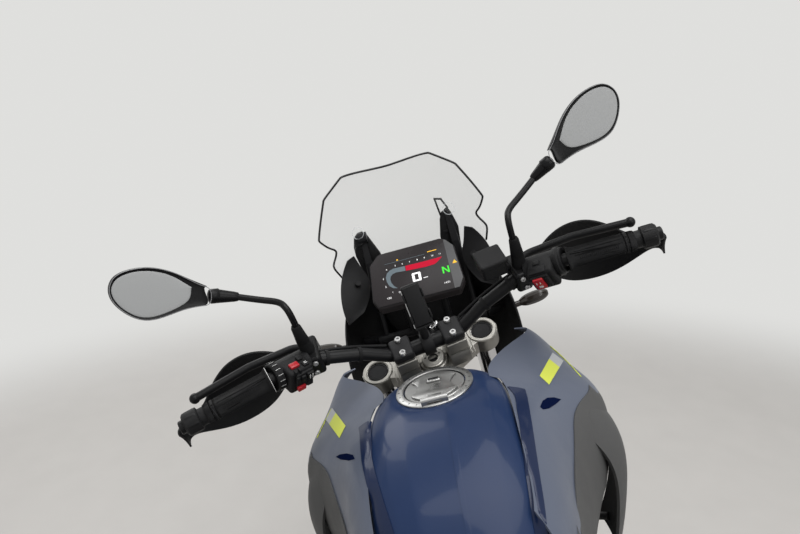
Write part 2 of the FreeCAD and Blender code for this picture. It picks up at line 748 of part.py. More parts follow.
# Rows of a hand guard from its inner to its outer end, each from the lower edge up to the upper edge.
guard_rows = [
    [(228, 60, 58), (228, 67, 74), (228, 60, 90)],
    [(262, 62, 30), (262, 74, 68), (262, 66, 106)],
    [(300, 60, -8), (300, 78, 60), (300, 68, 124)],
    [(335, 48, -12), (335, 68, 60), (335, 56, 130)],
    [(375, 22, 14), (375, 42, 68), (375, 34, 112)],
    [(405, -8, 62), (405, 4, 85), (405, 0, 105)],
    [(424, -48, 90), (424, -46, 110), (424, -50, 128)],
]
hand_guard = skin(guard_rows, -3)
outer_stay = tube([tuple(GRIP_END + along_grip * 20), (404, -40, 132), (410, -14, 100)], 6, 15)
inner_stay = tube([(182, 40, 104), (200, 62, 90), (238, 66, 72)], 7, 20)
hand_guard = joined([hand_guard, weight, outer_stay, largest(less(inner_stay, lever))])
feature("hand_guards", both_sides(hand_guard), FORK)

cradle = rounded(block((-18, -8, -37), (18, 8, 37)), 4)
cradle.Placement = Placement(Vector(0, -38, 192), Rotation(X_AXIS, -35.7))
cradle_arm = tube([(0, 5, BAR_HEIGHT + 8), (0, 2, 120), (0, -36, 188)], 8, 30)
cradle_ring = rod((-11, 5, BAR_HEIGHT), (11, 5, BAR_HEIGHT), 21)
cradle = less(joined([cradle, cradle_arm, cradle_ring]), bar)
feature("device_cradle", cradle, FORK)

pot = rounded(block((126, 4, 132), (170, 46, 160)), 5)
pot = joined([pot, rounded(block((124, 2, 158), (172, 48, 168)), 4), rod((160, 22, 140), (184, 22, 120), 6)])
pot = less(pot, bar, lever)
feature("brake_reservoir", pot, FORK)


# Frame, swingarm and engine, in the upright machine's frame.

STAND = Vector(float(size.stand_x), float(size.stand_y), float(size.stand_z))
PIVOT = Vector(0, float(size.pivot_y), float(size.pivot_height))
PIVOT_BOLT = float(size.pivot_radius)
TUBE = float(size.tube_radius)
RAIL = float(size.rail_radius)
ARM = float(size.arm_half)


def in_steering_frame(shape):
    """A shape drawn in the steering frame, straight ahead, moved into the upright machine's frame."""
    moved = shape.copy()
    moved.Placement = STEERING_FRAME.multiply(moved.Placement)
    return moved


stem_bore = in_steering_frame(rod((0, 0, -240), (0, 0, 40), float(size.stem_radius + size.axle_play)))
head_tube = in_steering_frame(rod((0, 0, -180), (0, 0, TOP - 36), float(size.head_radius)))
spar = tube([(22, 412, 915), (62, 352, 886), (132, 200, 820), (146, 60, 745), (146, -60, 620), (126, -170, 500),
             (126, -185, 400), (126, -190, 308)], TUBE, 70)
down_tube = tube([(20, 405, 880), (62, 366, 780), (100, 372, 600), (118, 330, 430), (118, 290, 300),
                  (118, 200, 235), (118, -80, 235), (124, -190, 308)], 13, 60)
plate = slab([(113, -235, 380), (113, -150, 300), (113, -135, 440), (113, -160, 520), (113, -215, 480)], (27, 0, 0))
cross_low = rod((-126, -190, 308), (126, -190, 308), 13)
cross_top = rod((-140, 120, 777), (140, 120, 777), 12)
side = joined([spar, down_tube, plate])
pivot_bore = rod((-160, PIVOT.y, PIVOT.z), (160, PIVOT.y, PIVOT.z), PIVOT_BOLT)
main_frame = joined([head_tube, side, mirrored(side), cross_low, cross_top])
main_frame = joined([less(main_frame, stem_bore), rod((-146, PIVOT.y, PIVOT.z), (146, PIVOT.y, PIVOT.z), PIVOT_BOLT)])

rear_rail = tube([(146, -30, 640), (138, -120, 690), (132, -300, 742), (112, -600, 800), (92, -870, 838)], RAIL, 90)
rear_stay = tube([(126, -190, 505), (126, -300, 590), (124, -430, 752)], RAIL, 90)
rear_side = joined([rear_rail, rear_stay])
rear_cross = [rod((-126, -330, 750), (126, -330, 750), 9), rod((-96, -820, 831), (96, -820, 831), 9)]
rear_subframe = less(joined([rear_side, mirrored(rear_side), *rear_cross]), main_frame)

crankcase = joined([
    slab([(-112, 285, 300), (-112, 285, 440), (-112, 230, 500), (-112, -60, 500), (-112, -120, 470),
          (-112, -120, 300), (-112, -60, 262), (-112, 230, 262)], (224, 0, 0)),
    slab([(-104, 262, 440), (-104, 285, 640), (-104, 90, 640), (-104, 70, 440)], (208, 0, 0)),
    rounded(block((-116, 76, 640), (116, 290, 735)), 14),
])
sump = slab([(-84, 220, 264), (-84, 190, 236), (-84, -20, 236), (-84, -50, 264)], (168, 0, 0))
chain_room = block((-114, -170, 326), (-80, -40, 474))
engine_block = less(joined([crankcase, sump]), chain_room, main_frame)

clutch_cover = lathe([(0, 0), (98, 0), (98, 22), (90, 34), (62, 40), (58, 52), (50, 58), (0, 58)], (112, 40, 368), (1, 0, 0))
pump_cover = lathe([(0, 0), (38, 0), (38, 20), (30, 34), (0, 34)], (112, 190, 330), (1, 0, 0))
generator_cover = lathe([(0, 0), (84, 0), (84, 18), (76, 34), (40, 46), (0, 46)], (-112, 110, 372), (-1, 0, 0))
cylinder_cover = rounded(block((-96, 96, 733), (96, 270, 757)), 8)
engine_covers = [clutch_cover.multiFuse([pump_cover]), generator_cover, cylinder_cover]
engine_covers = less(Part.makeCompound(engine_covers), engine_block, main_frame)

# Station x, then the plate's line from front to rear as y and z.
skid_line = ((330, 300), (262, 226), (100, 214), (-70, 214), (-110, 226))
skid_lift = {0: 0, 70: 1, 114: 4, 142: 24}
skid_rows = [[(x, y - abs(x) * 0.1, z + skid_lift[abs(x)]) for y, z in skid_line]
             for x in (-142, -114, -70, 0, 70, 114, 142)]
skid_plate = skin(skid_rows, -4)

radiator = joined([rounded(block((-140, 392, 552), (140, 420, 738)), 8),
                   block((-120, 380, 560), (-90, 396, 600)), block((90, 380, 560), (120, 396, 600)),
                   block((-110, 376, 690), (-74, 396, 720)), block((74, 376, 690), (110, 396, 720))])
radiator = less(radiator, main_frame)

port = tube([(52, 286, 600), (52, 352, 592), (52, 366, 500), (56, 372, 380), (100, 330, 262), (158, 240, 222)], 19, 50)
port_left = tube([(-52, 286, 600), (-52, 352, 592), (-52, 366, 500), (0, 372, 360), (92, 318, 262), (158, 240, 222)],
                 19, 50)
collector = tube([(150, 250, 224), (166, 180, 220), (168, -60, 224), (172, -160, 240), (176, -260, 330),
                  (196, -420, 452), (204, -480, 480)], 25, 60)
exhaust_header = less(joined([port, port_left, collector]), engine_block, main_frame)
for label, shape in (("rear_subframe", rear_subframe), ("engine_block", engine_block), ("engine_covers", engine_covers),
                     ("radiator", radiator), ("exhaust_header", exhaust_header)):
    feature(label, shape, BIKE)

skid_plate = largest(less(skid_plate, main_frame, exhaust_header, engine_block))
feature("skid_plate", skid_plate, BIKE)

can = loft([[(204 + r * 0.8 * math.cos(a), -478 - d, 480 + d * 0.3 + r * math.sin(a))
             for a in [math.radians(t) for t in range(0, 360, 30)]]
            for d, r in ((0, 30), (46, 60), (380, 66), (420, 54))])
can_bracket = rod((140, -560, 560), (190, -560, 520), 8)
feature("silencer", less(can, exhaust_header), BIKE)

# Swingarm, shock and rear axle.

REAR_Y, REAR_Z = REAR_AXLE.y, REAR_AXLE.z
beam_rows = ((-190, 97, 13, 22, 405), (-262, 104, 13, 21, 396), (-345, ARM, 13.5, 32, 388),
             (-640, ARM, 13.5, 26, 346), (REAR_Y + 40, ARM, 13.5, 26, REAR_Z + 3))
beam = loft([[(x - w, y, z - h), (x + w, y, z - h), (x + w, y, z + h), (x - w, y, z + h)]
             for y, x, w, h, z in beam_rows], True)
end_block = rounded(block((ARM - 13.5, REAR_Y - 44, REAR_Z - 26), (ARM + 13.5, REAR_Y + 44, REAR_Z + 26)), 5)
barrel = rod((-110, PIVOT.y, PIVOT.z), (110, PIVOT.y, PIVOT.z), 24)
yoke = rounded(block((-112, -330, 372), (112, -290, 412)), 6)
axle_bore = rod((-160, REAR_Y, REAR_Z), (160, REAR_Y, REAR_Z), float(size.axle_radius))
swingarm = joined([beam, end_block, barrel, yoke, mirrored(beam), mirrored(end_block)])
swingarm = less(swingarm, pivot_bore, axle_bore, main_frame)
stand_boss = rod((ARM + 10, REAR_Y + 70, REAR_Z + 4), (ARM + 22, REAR_Y + 70, REAR_Z + 4), 11)
boss_bore = rod((ARM - 6, REAR_Y + 70, REAR_Z + 4), (ARM + 30, REAR_Y + 70, REAR_Z + 4), 5)
swingarm = less(joined([swingarm, stand_boss, mirrored(stand_boss)]), boss_bore, mirrored(boss_bore))
feature("swingarm", swingarm, BIKE)

rear_axle = new_body("rear_axle", REAR_WHEEL)
rear_rings = [("ring", 0, 0, size.axle_radius), ("ring", 0, 0, size.axle_bore)]
pad(rear_axle, outline(rear_axle, "YZ_Plane", rear_rings), 2 * 152)

coil = [(16, 40)]
for turn in range(6):
    coil += [(38, 46 + turn * 32), (38, 58 + turn * 32), (22, 66 + turn * 32), (22, 72 + turn * 32)]
shock_low, shock_high = Vector(0, -310, 412), Vector(0, -262, 690)
shock_profile = [(0, 0), (16, 0), *coil, (16, 238), (28, 240), (28, 262), (14, 268), (14, 300), (0, 300)]
shock = lathe(shock_profile, tuple(shock_low), tuple(shock_high - shock_low))
shock_mount = rod((-120, -262, 700), (120, -262, 700), 9)
shock = less(joined([shock, shock_mount]), swingarm, main_frame, rear_subframe)
feature("rear_shock", shock, BIKE)

# Chain and sprockets.

CHAIN_X = float(size.chain_x)
PITCH = float(size.chain_pitch)
FRONT_SPROCKET = Vector(CHAIN_X, -112, 400)
BACK = PITCH / (2 * math.sin(math.pi / float(size.rear_teeth)))
FRONT = PITCH / (2 * math.sin(math.pi / float(size.front_teeth)))
CHAIN_RUN = Vector(0, REAR_Y - FRONT_SPROCKET.y, REAR_Z - FRONT_SPROCKET.z)


def chain_loop(offset, x, wide):
    """A solid the shape of the chain's loop at an offset from its pitch line, wide across."""
    run = CHAIN_RUN.Length
    tilt = math.asin((BACK - FRONT) / run)
    points = {}
    for side in (-1, 1):
        turn = side * (math.pi / 2 + tilt)
        points[side] = [Vector(run + (BACK + offset) * math.cos(turn), (BACK + offset) * math.sin(turn), 0),
                        Vector((FRONT + offset) * math.cos(turn), (FRONT + offset) * math.sin(turn), 0)]
    back_end = Vector(run + BACK + offset, 0, 0)
    front_end = Vector(-FRONT - offset, 0, 0)
    wire = Part.Wire([Part.Arc(points[-1][0], back_end, points[1][0]).toShape(),
                      Part.LineSegment(points[1][0], points[1][1]).toShape(),
                      Part.Arc(points[1][1], front_end, points[-1][1]).toShape(),
                      Part.LineSegment(points[-1][1], points[-1][0]).toShape()])
    made = Part.Face(wire).extrude(Vector(0, 0, wide))
    angle = math.degrees(math.atan2(CHAIN_RUN.z, CHAIN_RUN.y))
    upright = Rotation(X_AXIS, angle).multiply(Rotation(Vector(0, 1, 0), Vector(0, 0, 1), Vector(1, 0, 0), "ZXY"))
    made.Placement = Placement(Vector(x, FRONT_SPROCKET.y, FRONT_SPROCKET.z), upright)
    return made


def sprocket(teeth, radius, root, bore, x, thick):
    """A toothed plate about the x axis at the origin: flats at the tips and at the roots."""
    step = 2 * math.pi / teeth
    rim_points = []
    for tooth in range(teeth):
        for share, reach in ((-0.34, root), (-0.13, radius), (0.13, radius), (0.34, root)):
            turn = (tooth + share) * step
            rim_points.append(Vector(x, reach * math.cos(turn), reach * math.sin(turn)))
    plate_face = Part.Face(closed_wire(rim_points))
    made = plate_face.extrude(Vector(thick, 0, 0))
    return made.cut(Part.makeCylinder(bore, thick * 3, Vector(x - thick, 0, 0), X_AXIS)) if bore else made


chain = [chain_loop(7.5, CHAIN_X - 8, 3.5).cut(chain_loop(-7.5, CHAIN_X - 8, 3.5)),
         chain_loop(7.5, CHAIN_X + 4.5, 3.5).cut(chain_loop(-7.5, CHAIN_X + 4.5, 3.5)),
         chain_loop(4, CHAIN_X - 4.5, 9).cut(chain_loop(-5, CHAIN_X - 4.5, 9))]

drive = sprocket(int(size.front_teeth), FRONT - 4.9, FRONT - 11, 0, CHAIN_X - 3, 6)
drive.translate(Vector(0, FRONT_SPROCKET.y, FRONT_SPROCKET.z))
shaft = rod((CHAIN_X - 9, FRONT_SPROCKET.y, FRONT_SPROCKET.z), (-78, FRONT_SPROCKET.y, FRONT_SPROCKET.z), 14)
feature("chain", joined([*chain, drive, less(shaft, engine_block)]), BIKE)

back_plate = sprocket(int(size.rear_teeth), BACK - 5.6, BACK - 12, float(size.hub_radius), CHAIN_X - 3, 6)
windows = [Part.makeCylinder(15, 30, Vector(CHAIN_X - 15, 66 * math.cos(a), 66 * math.sin(a)), X_AXIS)
           for a in [math.radians(t) for t in range(0, 360, 60)]]
feature("rear_sprocket", back_plate.cut(windows), REAR_WHEEL)

rear_caliper = caliper(float(size.rear_disc_x), (0, REAR_Y, REAR_Z), 58, 42, float(size.rear_disc))
caliper_arm = block((60, REAR_Y + 30, REAR_Z + 20), (ARM - 10, REAR_Y + 62, REAR_Z + 92))
rear_caliper = less(joined([rear_caliper, less(caliper_arm, turned_part(
    [(50, 0), (78, 0), (78, 146), (50, 146)], 0, 360, (0, REAR_Y, REAR_Z)))]), swingarm)
feature("rear_caliper", rear_caliper, BIKE)

# Bodywork.

CAP = Vector(0, float(size.cap_y), float(size.cap_z))
RING = float(size.cap_ring)
LID = float(size.cap_lid)
WALL = float(size.panel_wall)


def across(half):
    """A closed section from its right half, listed from the top's middle to the bottom's middle."""
    return half + [(-x, y, z) for x, y, z in half[-2:0:-1]]


# Station y, then x and z pairs from the top's middle round to the bottom's middle.
tank_rows = (
    (308, (0, 1005), (38, 1003), (56, 985), (60, 930), (52, 892), (0, 888)),
    (280, (0, 1010), (60, 1008), (92, 992), (100, 940), (92, 866), (0, 850)),
    (200, (0, 1020), (74, 1022), (110, 1006), (122, 950), (112, 830), (0, 806)),
    (100, (0, 1012), (74, 1014), (108, 1000), (124, 930), (116, 806), (0, 796)),
    (0, (0, 975), (70, 976), (102, 962), (120, 900), (112, 792), (0, 788)),
    (-88, (0, 900), (56, 900), (88, 886), (104, 846), (98, 786), (0, 782)),
)
tank = loft([across([(x, y, z) for x, z in half]) for y, *half in tank_rows])
tank = tank.cut(Part.makeCylinder(RING, 60, Vector(0, CAP.y, CAP.z - 20)))
tank = tank.cut(Part.makeCylinder(float(size.neck_radius), 100, Vector(0, CAP.y, CAP.z - 100)))
tank = less(tank, main_frame)
feature("tank", tank, BIKE)

cap_ring = lathe([(float(size.neck_radius), -20), (RING, -20), (RING, -2), (RING - 3, 0), (LID + 2, 0),
                  (LID + 2, -15), (float(size.neck_radius), -15)], tuple(CAP), (0, 0, 1))
HINGE = Vector(0, CAP.y - LID - 5, CAP.z + 6)
lugs = [joined([rod((x, HINGE.y, HINGE.z), (x + 9, HINGE.y, HINGE.z), 5),
                block((x, HINGE.y - 5, CAP.z - 8), (x + 9, HINGE.y + 3, HINGE.z))]) for x in (-21, 12)]
cap_ring = joined([cap_ring, *lugs]).cut(rod((-30, HINGE.y, HINGE.z), (30, HINGE.y, HINGE.z), 2.55))
feature("fuel_cap_ring", cap_ring, BIKE)

lid = lathe([(0, -12), (LID - 4, -12), (LID - 4, -6), (LID, -6), (LID, -1), (LID - 3, 2), (24, 2), (22, 1), (0, 1)],
            tuple(CAP), (0, 0, 1))
lid_arm = joined([rod((-11, HINGE.y, HINGE.z), (11, HINGE.y, HINGE.z), 5),
                  block((-11, HINGE.y - 2, CAP.z + 1), (11, HINGE.y + 16, CAP.z + 7))])
lid = joined([lid, lid_arm, rod((-21, HINGE.y, HINGE.z), (21, HINGE.y, HINGE.z), 2.5)])
feature("fuel_lid", lid, BIKE)

# Rows of a side panel from front to rear, each from its top edge down to its lower edge.
panel_rows = [
    [(158, 440, 994), (198, 437, 960), (232, 425, 900), (228, 410, 830)],
    [(146, 370, 1000), (202, 366, 964), (254, 350, 906), (246, 338, 818)],
    [(92, 285, 1004), (182, 285, 966), (250, 280, 912), (250, 270, 806)],
    [(98, 205, 1004), (166, 205, 968), (214, 200, 906), (222, 195, 796)],
    [(96, 100, 998), (146, 100, 958), (172, 100, 888), (178, 100, 786)],
    [(92, 0, 962), (134, 0, 922), (150, 0, 858), (156, 0, 770)],
    [(84, -86, 886), (114, -86, 860), (128, -86, 818), (134, -86, 752)],
]
panel = skin(panel_rows, -WALL)
panel = less(panel, tank, main_frame)
panel = largest(panel)
feature("tank_panels", both_sides(panel), BIKE)

pad_rows = [
    [(236, 338, 900), (268, 334, 840), (262, 328, 740), (224, 330, 640)],
    [(240, 262, 912), (274, 262, 840), (268, 262, 740), (232, 262, 630)],
    [(205, 194, 905), (240, 196, 835), (236, 196, 740), (212, 200, 650)],
]
side_pad = less(skin(pad_rows, -5), panel)
side_pad = largest(side_pad)
pad_stay = tube([(100, 372, 600), (160, 340, 640), (232, 300, 652)], 7, 30)
side_pad = joined([side_pad, less(pad_stay, main_frame, radiator)])
feature("radiator_pads", both_sides(side_pad), BIKE)

# Station y, half width, top height, under height.
seat_rows = ((-82, 66, 850, 786), (-150, 98, 816, 762), (-250, 126, 820, 766), (-318, 136, 834, 776),
             (-352, 124, 866, 790), (-480, 118, 878, 806), (-624, 92, 884, 826))
seat = loft([across([(0, y, top), (0.72 * w, y, top - 2), (w, y, top - 18), (0.96 * w, y, top - 36),
                     (0.78 * w, y, low), (0, y, low)]) for y, w, top, low in seat_rows])
feature("seat", less(seat, tank, rear_subframe), BIKE)

rack_plate = rounded(block((-88, -856, 890), (88, -640, 900)), 4)
rack_cuts = [block((-60, y, 880), (60, y + 22, 910)) for y in (-700, -812)]
rack_bolts = [Part.makeCylinder(4.25, 30, Vector(55 * math.cos(a), -745 + 55 * math.sin(a), 880))
              for a in [math.radians(t) for t in (45, 135, 225, 315)]]
rack_leg = [rod((96, -814, 834), (78, -814, 896), 8), rod((107, -664, 812), (80, -664, 896), 8)]
rack_leg = Part.makeCompound([largest(less(leg, rear_subframe, seat)) for leg in rack_leg])
rack = less(joined([rack_plate, *rack_leg.Solids, *mirrored(rack_leg).Solids]), *rack_cuts, *rack_bolts)
feature("luggage_rack", rack, BIKE)

tail_rows = [
    [(90, -70, 786), (134, -74, 776), (156, -80, 740), (156, -86, 690)],
    [(98, -200, 770), (138, -200, 770), (154, -200, 744), (152, -200, 706)],
    [(96, -400, 800), (136, -400, 796), (150, -400, 774), (146, -400, 742)],
    [(74, -620, 826), (112, -620, 824), (128, -620, 806), (124, -620, 780)],
    [(50, -840, 858), (90, -840, 856), (108, -840, 842), (104, -840, 822)],
]
tail_half = less(skin(tail_rows, -WALL), seat, tank, rear_subframe, panel, rack)
tail_half = largest(tail_half)
feature("tail_covers", both_sides(tail_half), BIKE)

tail_box = rounded(block((-70, -905, 812), (70, -842, 866)), 10)
tail_box = less(tail_box, rear_subframe, tail_half, mirrored(tail_half), rack)
holder = tube([(0, -892, 826), (0, -960, 790), (0, -1075, 700)], 13, 60)
plate_turn = Placement(Vector(0, -1102, 640), Rotation(X_AXIS, -20))
plate_board = rounded(block((-95, -3, -110), (95, 3, 110)), 2.5)
plate_board.Placement = plate_turn
holder_bar = rod((-150, -980, 776), (150, -980, 776), 6)
plate_holder = joined([tail_box, holder, plate_board, holder_bar])
feature("plate_holder", largest(plate_holder), BIKE)

tail_light = rounded(block((-56, -924, 822), (56, -898, 858)), 6)
feature("tail_light", less(tail_light, plate_holder), BIKE)

rear_lamp = rounded(block((146, -1000, 760), (190, -964, 790)), 8)
rear_lamp = less(rear_lamp, plate_holder)

# Nose, screen and display.

nose_rows = [
    [(-128, 560, 1118), (-98, 636, 1122), (0, 686, 1126), (98, 636, 1122), (128, 560, 1118)],
    [(-166, 520, 1058), (-122, 646, 1060), (0, 722, 1064), (122, 646, 1060), (166, 520, 1058)],
    [(-176, 480, 985), (-128, 650, 985), (0, 736, 985), (128, 650, 985), (176, 480, 985)],
    [(-170, 484, 905), (-114, 640, 905), (0, 712, 905), (114, 640, 905), (170, 484, 905)],
    [(-132, 570, 850), (-88, 632, 856), (0, 682, 860), (88, 632, 856), (132, 570, 850)],
]
nose = skin(nose_rows, WALL)
lamp = slab([(-96, 640, 1036), (96, 640, 1036), (104, 640, 1004), (74, 640, 936), (-74, 640, 936), (-104, 640, 1004)],
            (0, 84, 0))
lamp = lamp.makeFillet(8, lamp.Edges)
beak = skin([[(-64, 640, 900), (0, 700, 912), (64, 640, 900)],
             [(-56, 720, 892), (0, 760, 914), (56, 720, 892)],
             [(-30, 830, 884), (0, 862, 896), (30, 830, 884)]], -4)
nose = less(nose, lamp)
nose = largest(joined([nose, largest(less(beak, lamp))]))
feature("nose", nose, BIKE)
feature("headlight", lamp, BIKE)

screen_rows = [
    [(-90, 518, 1352), (-47, 540, 1354), (0, 548, 1354), (47, 540, 1354), (90, 518, 1352)],
    [(-136, 510, 1317), (-72, 555, 1318), (0, 570, 1318), (72, 555, 1318), (136, 510, 1317)],
    [(-170, 521, 1241), (-92, 590, 1241), (0, 612, 1241), (92, 590, 1241), (170, 521, 1241)],
    [(-168, 548, 1194), (-88, 617, 1191), (0, 640, 1190), (88, 617, 1191), (168, 548, 1194)],
    [(-166, 566, 1160), (-84, 638, 1156), (0, 664, 1156), (84, 638, 1156), (166, 566, 1160)],
    [(-140, 606, 1112), (-72, 668, 1112), (0, 694, 1112), (72, 668, 1112), (140, 606, 1112)],
]
# Half of the screen's outline seen from the front: x and z from the top down, with the notch at its waist.
screen_half = [(0, 1341), (50, 1345), (87, 1348), (131, 1316), (167, 1239), (157, 1213), (144, 1199), (161, 1176),
               (163, 1162), (156, 1138), (138, 1108), (0, 1108)]
screen_edge = slab([(x, 400, z) for x, z in screen_half] + [(-x, 400, z) for x, z in screen_half[-2:0:-1]],
                   (0, 400, 0))
screen = less(skin(screen_rows, float(size.screen_wall)), nose)
screen = largest(screen.common(screen_edge))
feature("windscreen", screen, BIKE)

RISE = Vector(0, 0.787, 0.617)
FACING = Vector(0, -0.617, 0.787)
DISPLAY = Vector(0, 508, 1131)
display_outline = ((-64, 66), (64, 66), (88, 40), (92, -42), (80, -64), (-80, -64), (-92, -42), (-88, 40))
display = slab([DISPLAY + X_AXIS * x + RISE * t for x, t in display_outline], FACING * -24)
display = display.makeFillet(6, display.Edges)
feature("display", display, BIKE)

stalk = rod((0, 446, 932), (0, 572, 985), 13)
frame_bar = rod((-118, 572, 985), (118, 572, 985), 9)
upright = tube([(99, 572, 985), (99, 592, 1090), (93, 602, 1196)], 6, 60)
arm_side = [(592, 1060), (617, 1078), (624, 1150), (614, 1206), (598, 1206), (590, 1150)]
screen_arm = slab([(86, y, z) for y, z in arm_side], (14, 0, 0))
arm_room = slab([(x, 560, z) for x, z in ((92, 1060), (104, 1060), (100, 1150), (96, 1212), (84, 1212), (86, 1150))],
                (0, 80, 0))
screen_arm = screen_arm.common(arm_room)
knob = rod((-102, 600, 1204), (-82, 600, 1204), 12)
lever_sides = [(78, 604, 1244), (92, 604, 1240), (104, 604, 1212), (84, 604, 1196)]
lever_window = [(84, 590, 1235), (91, 590, 1233), (97, 590, 1214), (88, 590, 1208)]
screen_lever = slab(lever_sides, (0, 6, 0)).cut(slab(lever_window, (0, 30, 0)))
display_arm = rod((40, 572, 985), (40, 520, 1122), 8)
nose_arm = rod((118, 572, 985), (150, 585, 985), 9)
nose_bracket = joined([stalk, frame_bar, upright, mirrored(upright), display_arm, mirrored(display_arm),
                       nose_arm, mirrored(nose_arm), screen_arm, mirrored(screen_arm), knob, screen_lever])
nose_bracket = less(nose_bracket, main_frame, nose, display, screen)
feature("nose_bracket", largest(nose_bracket), BIKE)

deflector = skin([[(119, 584, 1176), (133, 575, 1172)], [(110, 582, 1146), (152, 557, 1142)],
                  [(101, 570, 1112), (160, 519, 1102)], [(122, 524, 1070), (156, 504, 1060)]], 3)
deflector_stay = rod((121, 552, 1126), (132, 567, 1107), 6)
deflector = largest(less(joined([deflector, deflector_stay]), nose, screen, nose_bracket))
feature("side_deflectors", both_sides(deflector), BIKE)

front_stem = rod((160, 505, 1012), (194, 505, 1015), 6)
front_lamp = loft([[(x, 505 + 14 * t * math.cos(a), 1016 + (x - 190) * 0.12 + 12 * t * math.sin(a))
                    for a in [math.radians(d) for d in range(15, 375, 30)]]
                   for x, t in ((184, 0.45), (200, 0.95), (222, 1), (236, 0.75), (242, 0.4))])
front_indicator = less(joined([front_stem, front_lamp]), nose)
front_indicator = largest(front_indicator)
lamps = [rear_lamp, mirrored(rear_lamp), front_indicator, mirrored(front_indicator)]
feature("indicators", Part.makeCompound(lamps), BIKE)

# Footrests, pedals and side stand.

peg = joined([rounded(block((160, -98, 328), (262, -66, 344)), 4), rod((134, -160, 380), (170, -84, 336), 9)])
peg = largest(less(peg, main_frame, exhaust_header))
pillion = joined([rod((148, -420, 500), (236, -420, 500), 9), rod((130, -330, 628), (156, -420, 500), 8)])
pillion = largest(less(pillion, rear_subframe, main_frame, swingarm, exhaust_header))
feature("footrests", Part.makeCompound([peg, mirrored(peg), pillion, mirrored(pillion)]), BIKE)

gear = joined([rod((-108, -20, 334), (-184, -20, 334), 8), rod((-178, -20, 334), (-180, 78, 318), 6),
               rod((-174, 78, 318), (-224, 80, 318), 7)])
gear = largest(less(gear, engine_block, engine_covers, main_frame))
brake = tube([(132, -170, 334), (150, -150, 318), (150, -60, 314), (182, -36, 314), (194, 60, 306)], 6, 20)
brake = largest(less(joined([brake, rod((188, 60, 306), (236, 66, 306), 7)]), main_frame, engine_block, engine_covers))
feature("pedals", Part.makeCompound([gear, brake]), BIKE)

SPLAY = math.radians(size.stand_splay)
STAND_PIN = Vector(math.cos(SPLAY), 0, -math.sin(SPLAY))
SQUARE = Vector(-math.sin(SPLAY), 0, -math.cos(SPLAY))
LEG = Rotation(STAND_PIN, float(size.stand_rake)).multVec(SQUARE)
up = BIKE.Rotation.inverted().multVec(Z_AXIS)
start_height = BIKE.multVec(STAND).z
reach = (start_height - 5) / -BIKE.Rotation.multVec(LEG).z
foot_point = STAND + LEG * reach
leg = rod(STAND + LEG * 4, foot_point, 11)
stand_eye = rod(STAND - STAND_PIN * 9, STAND + STAND_PIN * 9, 17)
foot = Part.makeCylinder(30, 8, foot_point - up * 5, up)
hook = rod(STAND + LEG * 60, STAND + LEG * 60 + Vector(-30, 26, 0), 5)
stand = joined([leg, stand_eye, foot, hook])
stand = stand.cut(rod(STAND - STAND_PIN * 40, STAND + STAND_PIN * 40, 7.08))
below = Part.makeBox(400, 400, 60, Vector(-200, -200, -60))
below.Placement = BIKE.inverse().multiply(Placement(BIKE.multVec(foot_point), Rotation())).multiply(below.Placement)
feature("side_stand", stand, BIKE)

pin = rod(STAND - STAND_PIN * 22, STAND + STAND_PIN * 26, 7)
bracket = joined([rod(STAND + STAND_PIN * 14, STAND + STAND_PIN * 26, 17), block((-146, -14, 222), (-112, 34, 250))])
around_eye = rod(STAND - STAND_PIN * 14, STAND + STAND_PIN * 14, 32)
bracket = largest(less(joined([bracket, main_frame]), skid_plate, around_eye))
bracket = joined([bracket, pin])
feature("main_frame", bracket, BIKE)

# The whole machine is moved so that its box stands centred on the origin, and each piece is written.

doc.recompute()
points = [point for piece in pieces for point in piece.Shape.tessellate(0.5)[0]]
middle_x, middle_y = ((min(p[i] for p in points) + max(p[i] for p in points)) / 2 for i in (0, 1))
lowest_z = min(p[2] for p in points)
shift = Placement(Vector(-middle_x, -middle_y, -lowest_z), Rotation())
for piece in pieces:
    piece.Placement = shift.multiply(piece.Placement)
doc.recompute()

for item in doc.Objects:
    if {"Invalid", "Error"} & set(item.State):
        raise ValueError(f"{item.Label} did not build: {item.State}")
for piece in pieces:
    if piece.Shape.isNull() or not piece.Shape.isValid() or not piece.Shape.Solids:
        raise ValueError(f"{piece.Label} is not a sound solid")

os.makedirs("parts", exist_ok=True)
for piece in pieces:
    solids = piece.Shape.Solids
    made = solids[0] if len(solids) == 1 else Part.makeCompound(solids)
    made.exportStep(f"parts/{piece.Label}.step")
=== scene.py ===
# Adventure motorcycle on its side stand, seen from above the seat. Pieces are drawn in the upright
# machine's frame or in the steering frame, in millimetres, and then moved into place in metres.
import json
import math

import bpy
from mathutils import Matrix, Vector


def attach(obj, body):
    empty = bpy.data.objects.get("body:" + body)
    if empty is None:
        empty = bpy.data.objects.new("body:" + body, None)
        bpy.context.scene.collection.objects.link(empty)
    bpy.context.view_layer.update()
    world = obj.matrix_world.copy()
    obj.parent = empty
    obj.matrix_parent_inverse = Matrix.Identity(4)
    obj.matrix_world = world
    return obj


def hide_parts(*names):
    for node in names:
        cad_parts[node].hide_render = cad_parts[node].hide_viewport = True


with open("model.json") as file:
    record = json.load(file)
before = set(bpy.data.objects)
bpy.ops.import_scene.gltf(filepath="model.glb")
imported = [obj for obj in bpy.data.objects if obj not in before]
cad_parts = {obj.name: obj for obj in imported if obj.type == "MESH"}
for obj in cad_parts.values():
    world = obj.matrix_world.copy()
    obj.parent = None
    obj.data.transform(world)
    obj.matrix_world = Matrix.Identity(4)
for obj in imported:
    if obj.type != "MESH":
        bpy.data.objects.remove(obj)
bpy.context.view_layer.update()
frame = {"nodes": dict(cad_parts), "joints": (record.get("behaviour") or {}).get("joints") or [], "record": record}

NODES = frame["nodes"]
JOINTS = {joint["name"]: joint for joint in frame["joints"]}

# The frames that pieces are drawn in, found from the joints' axes and places.

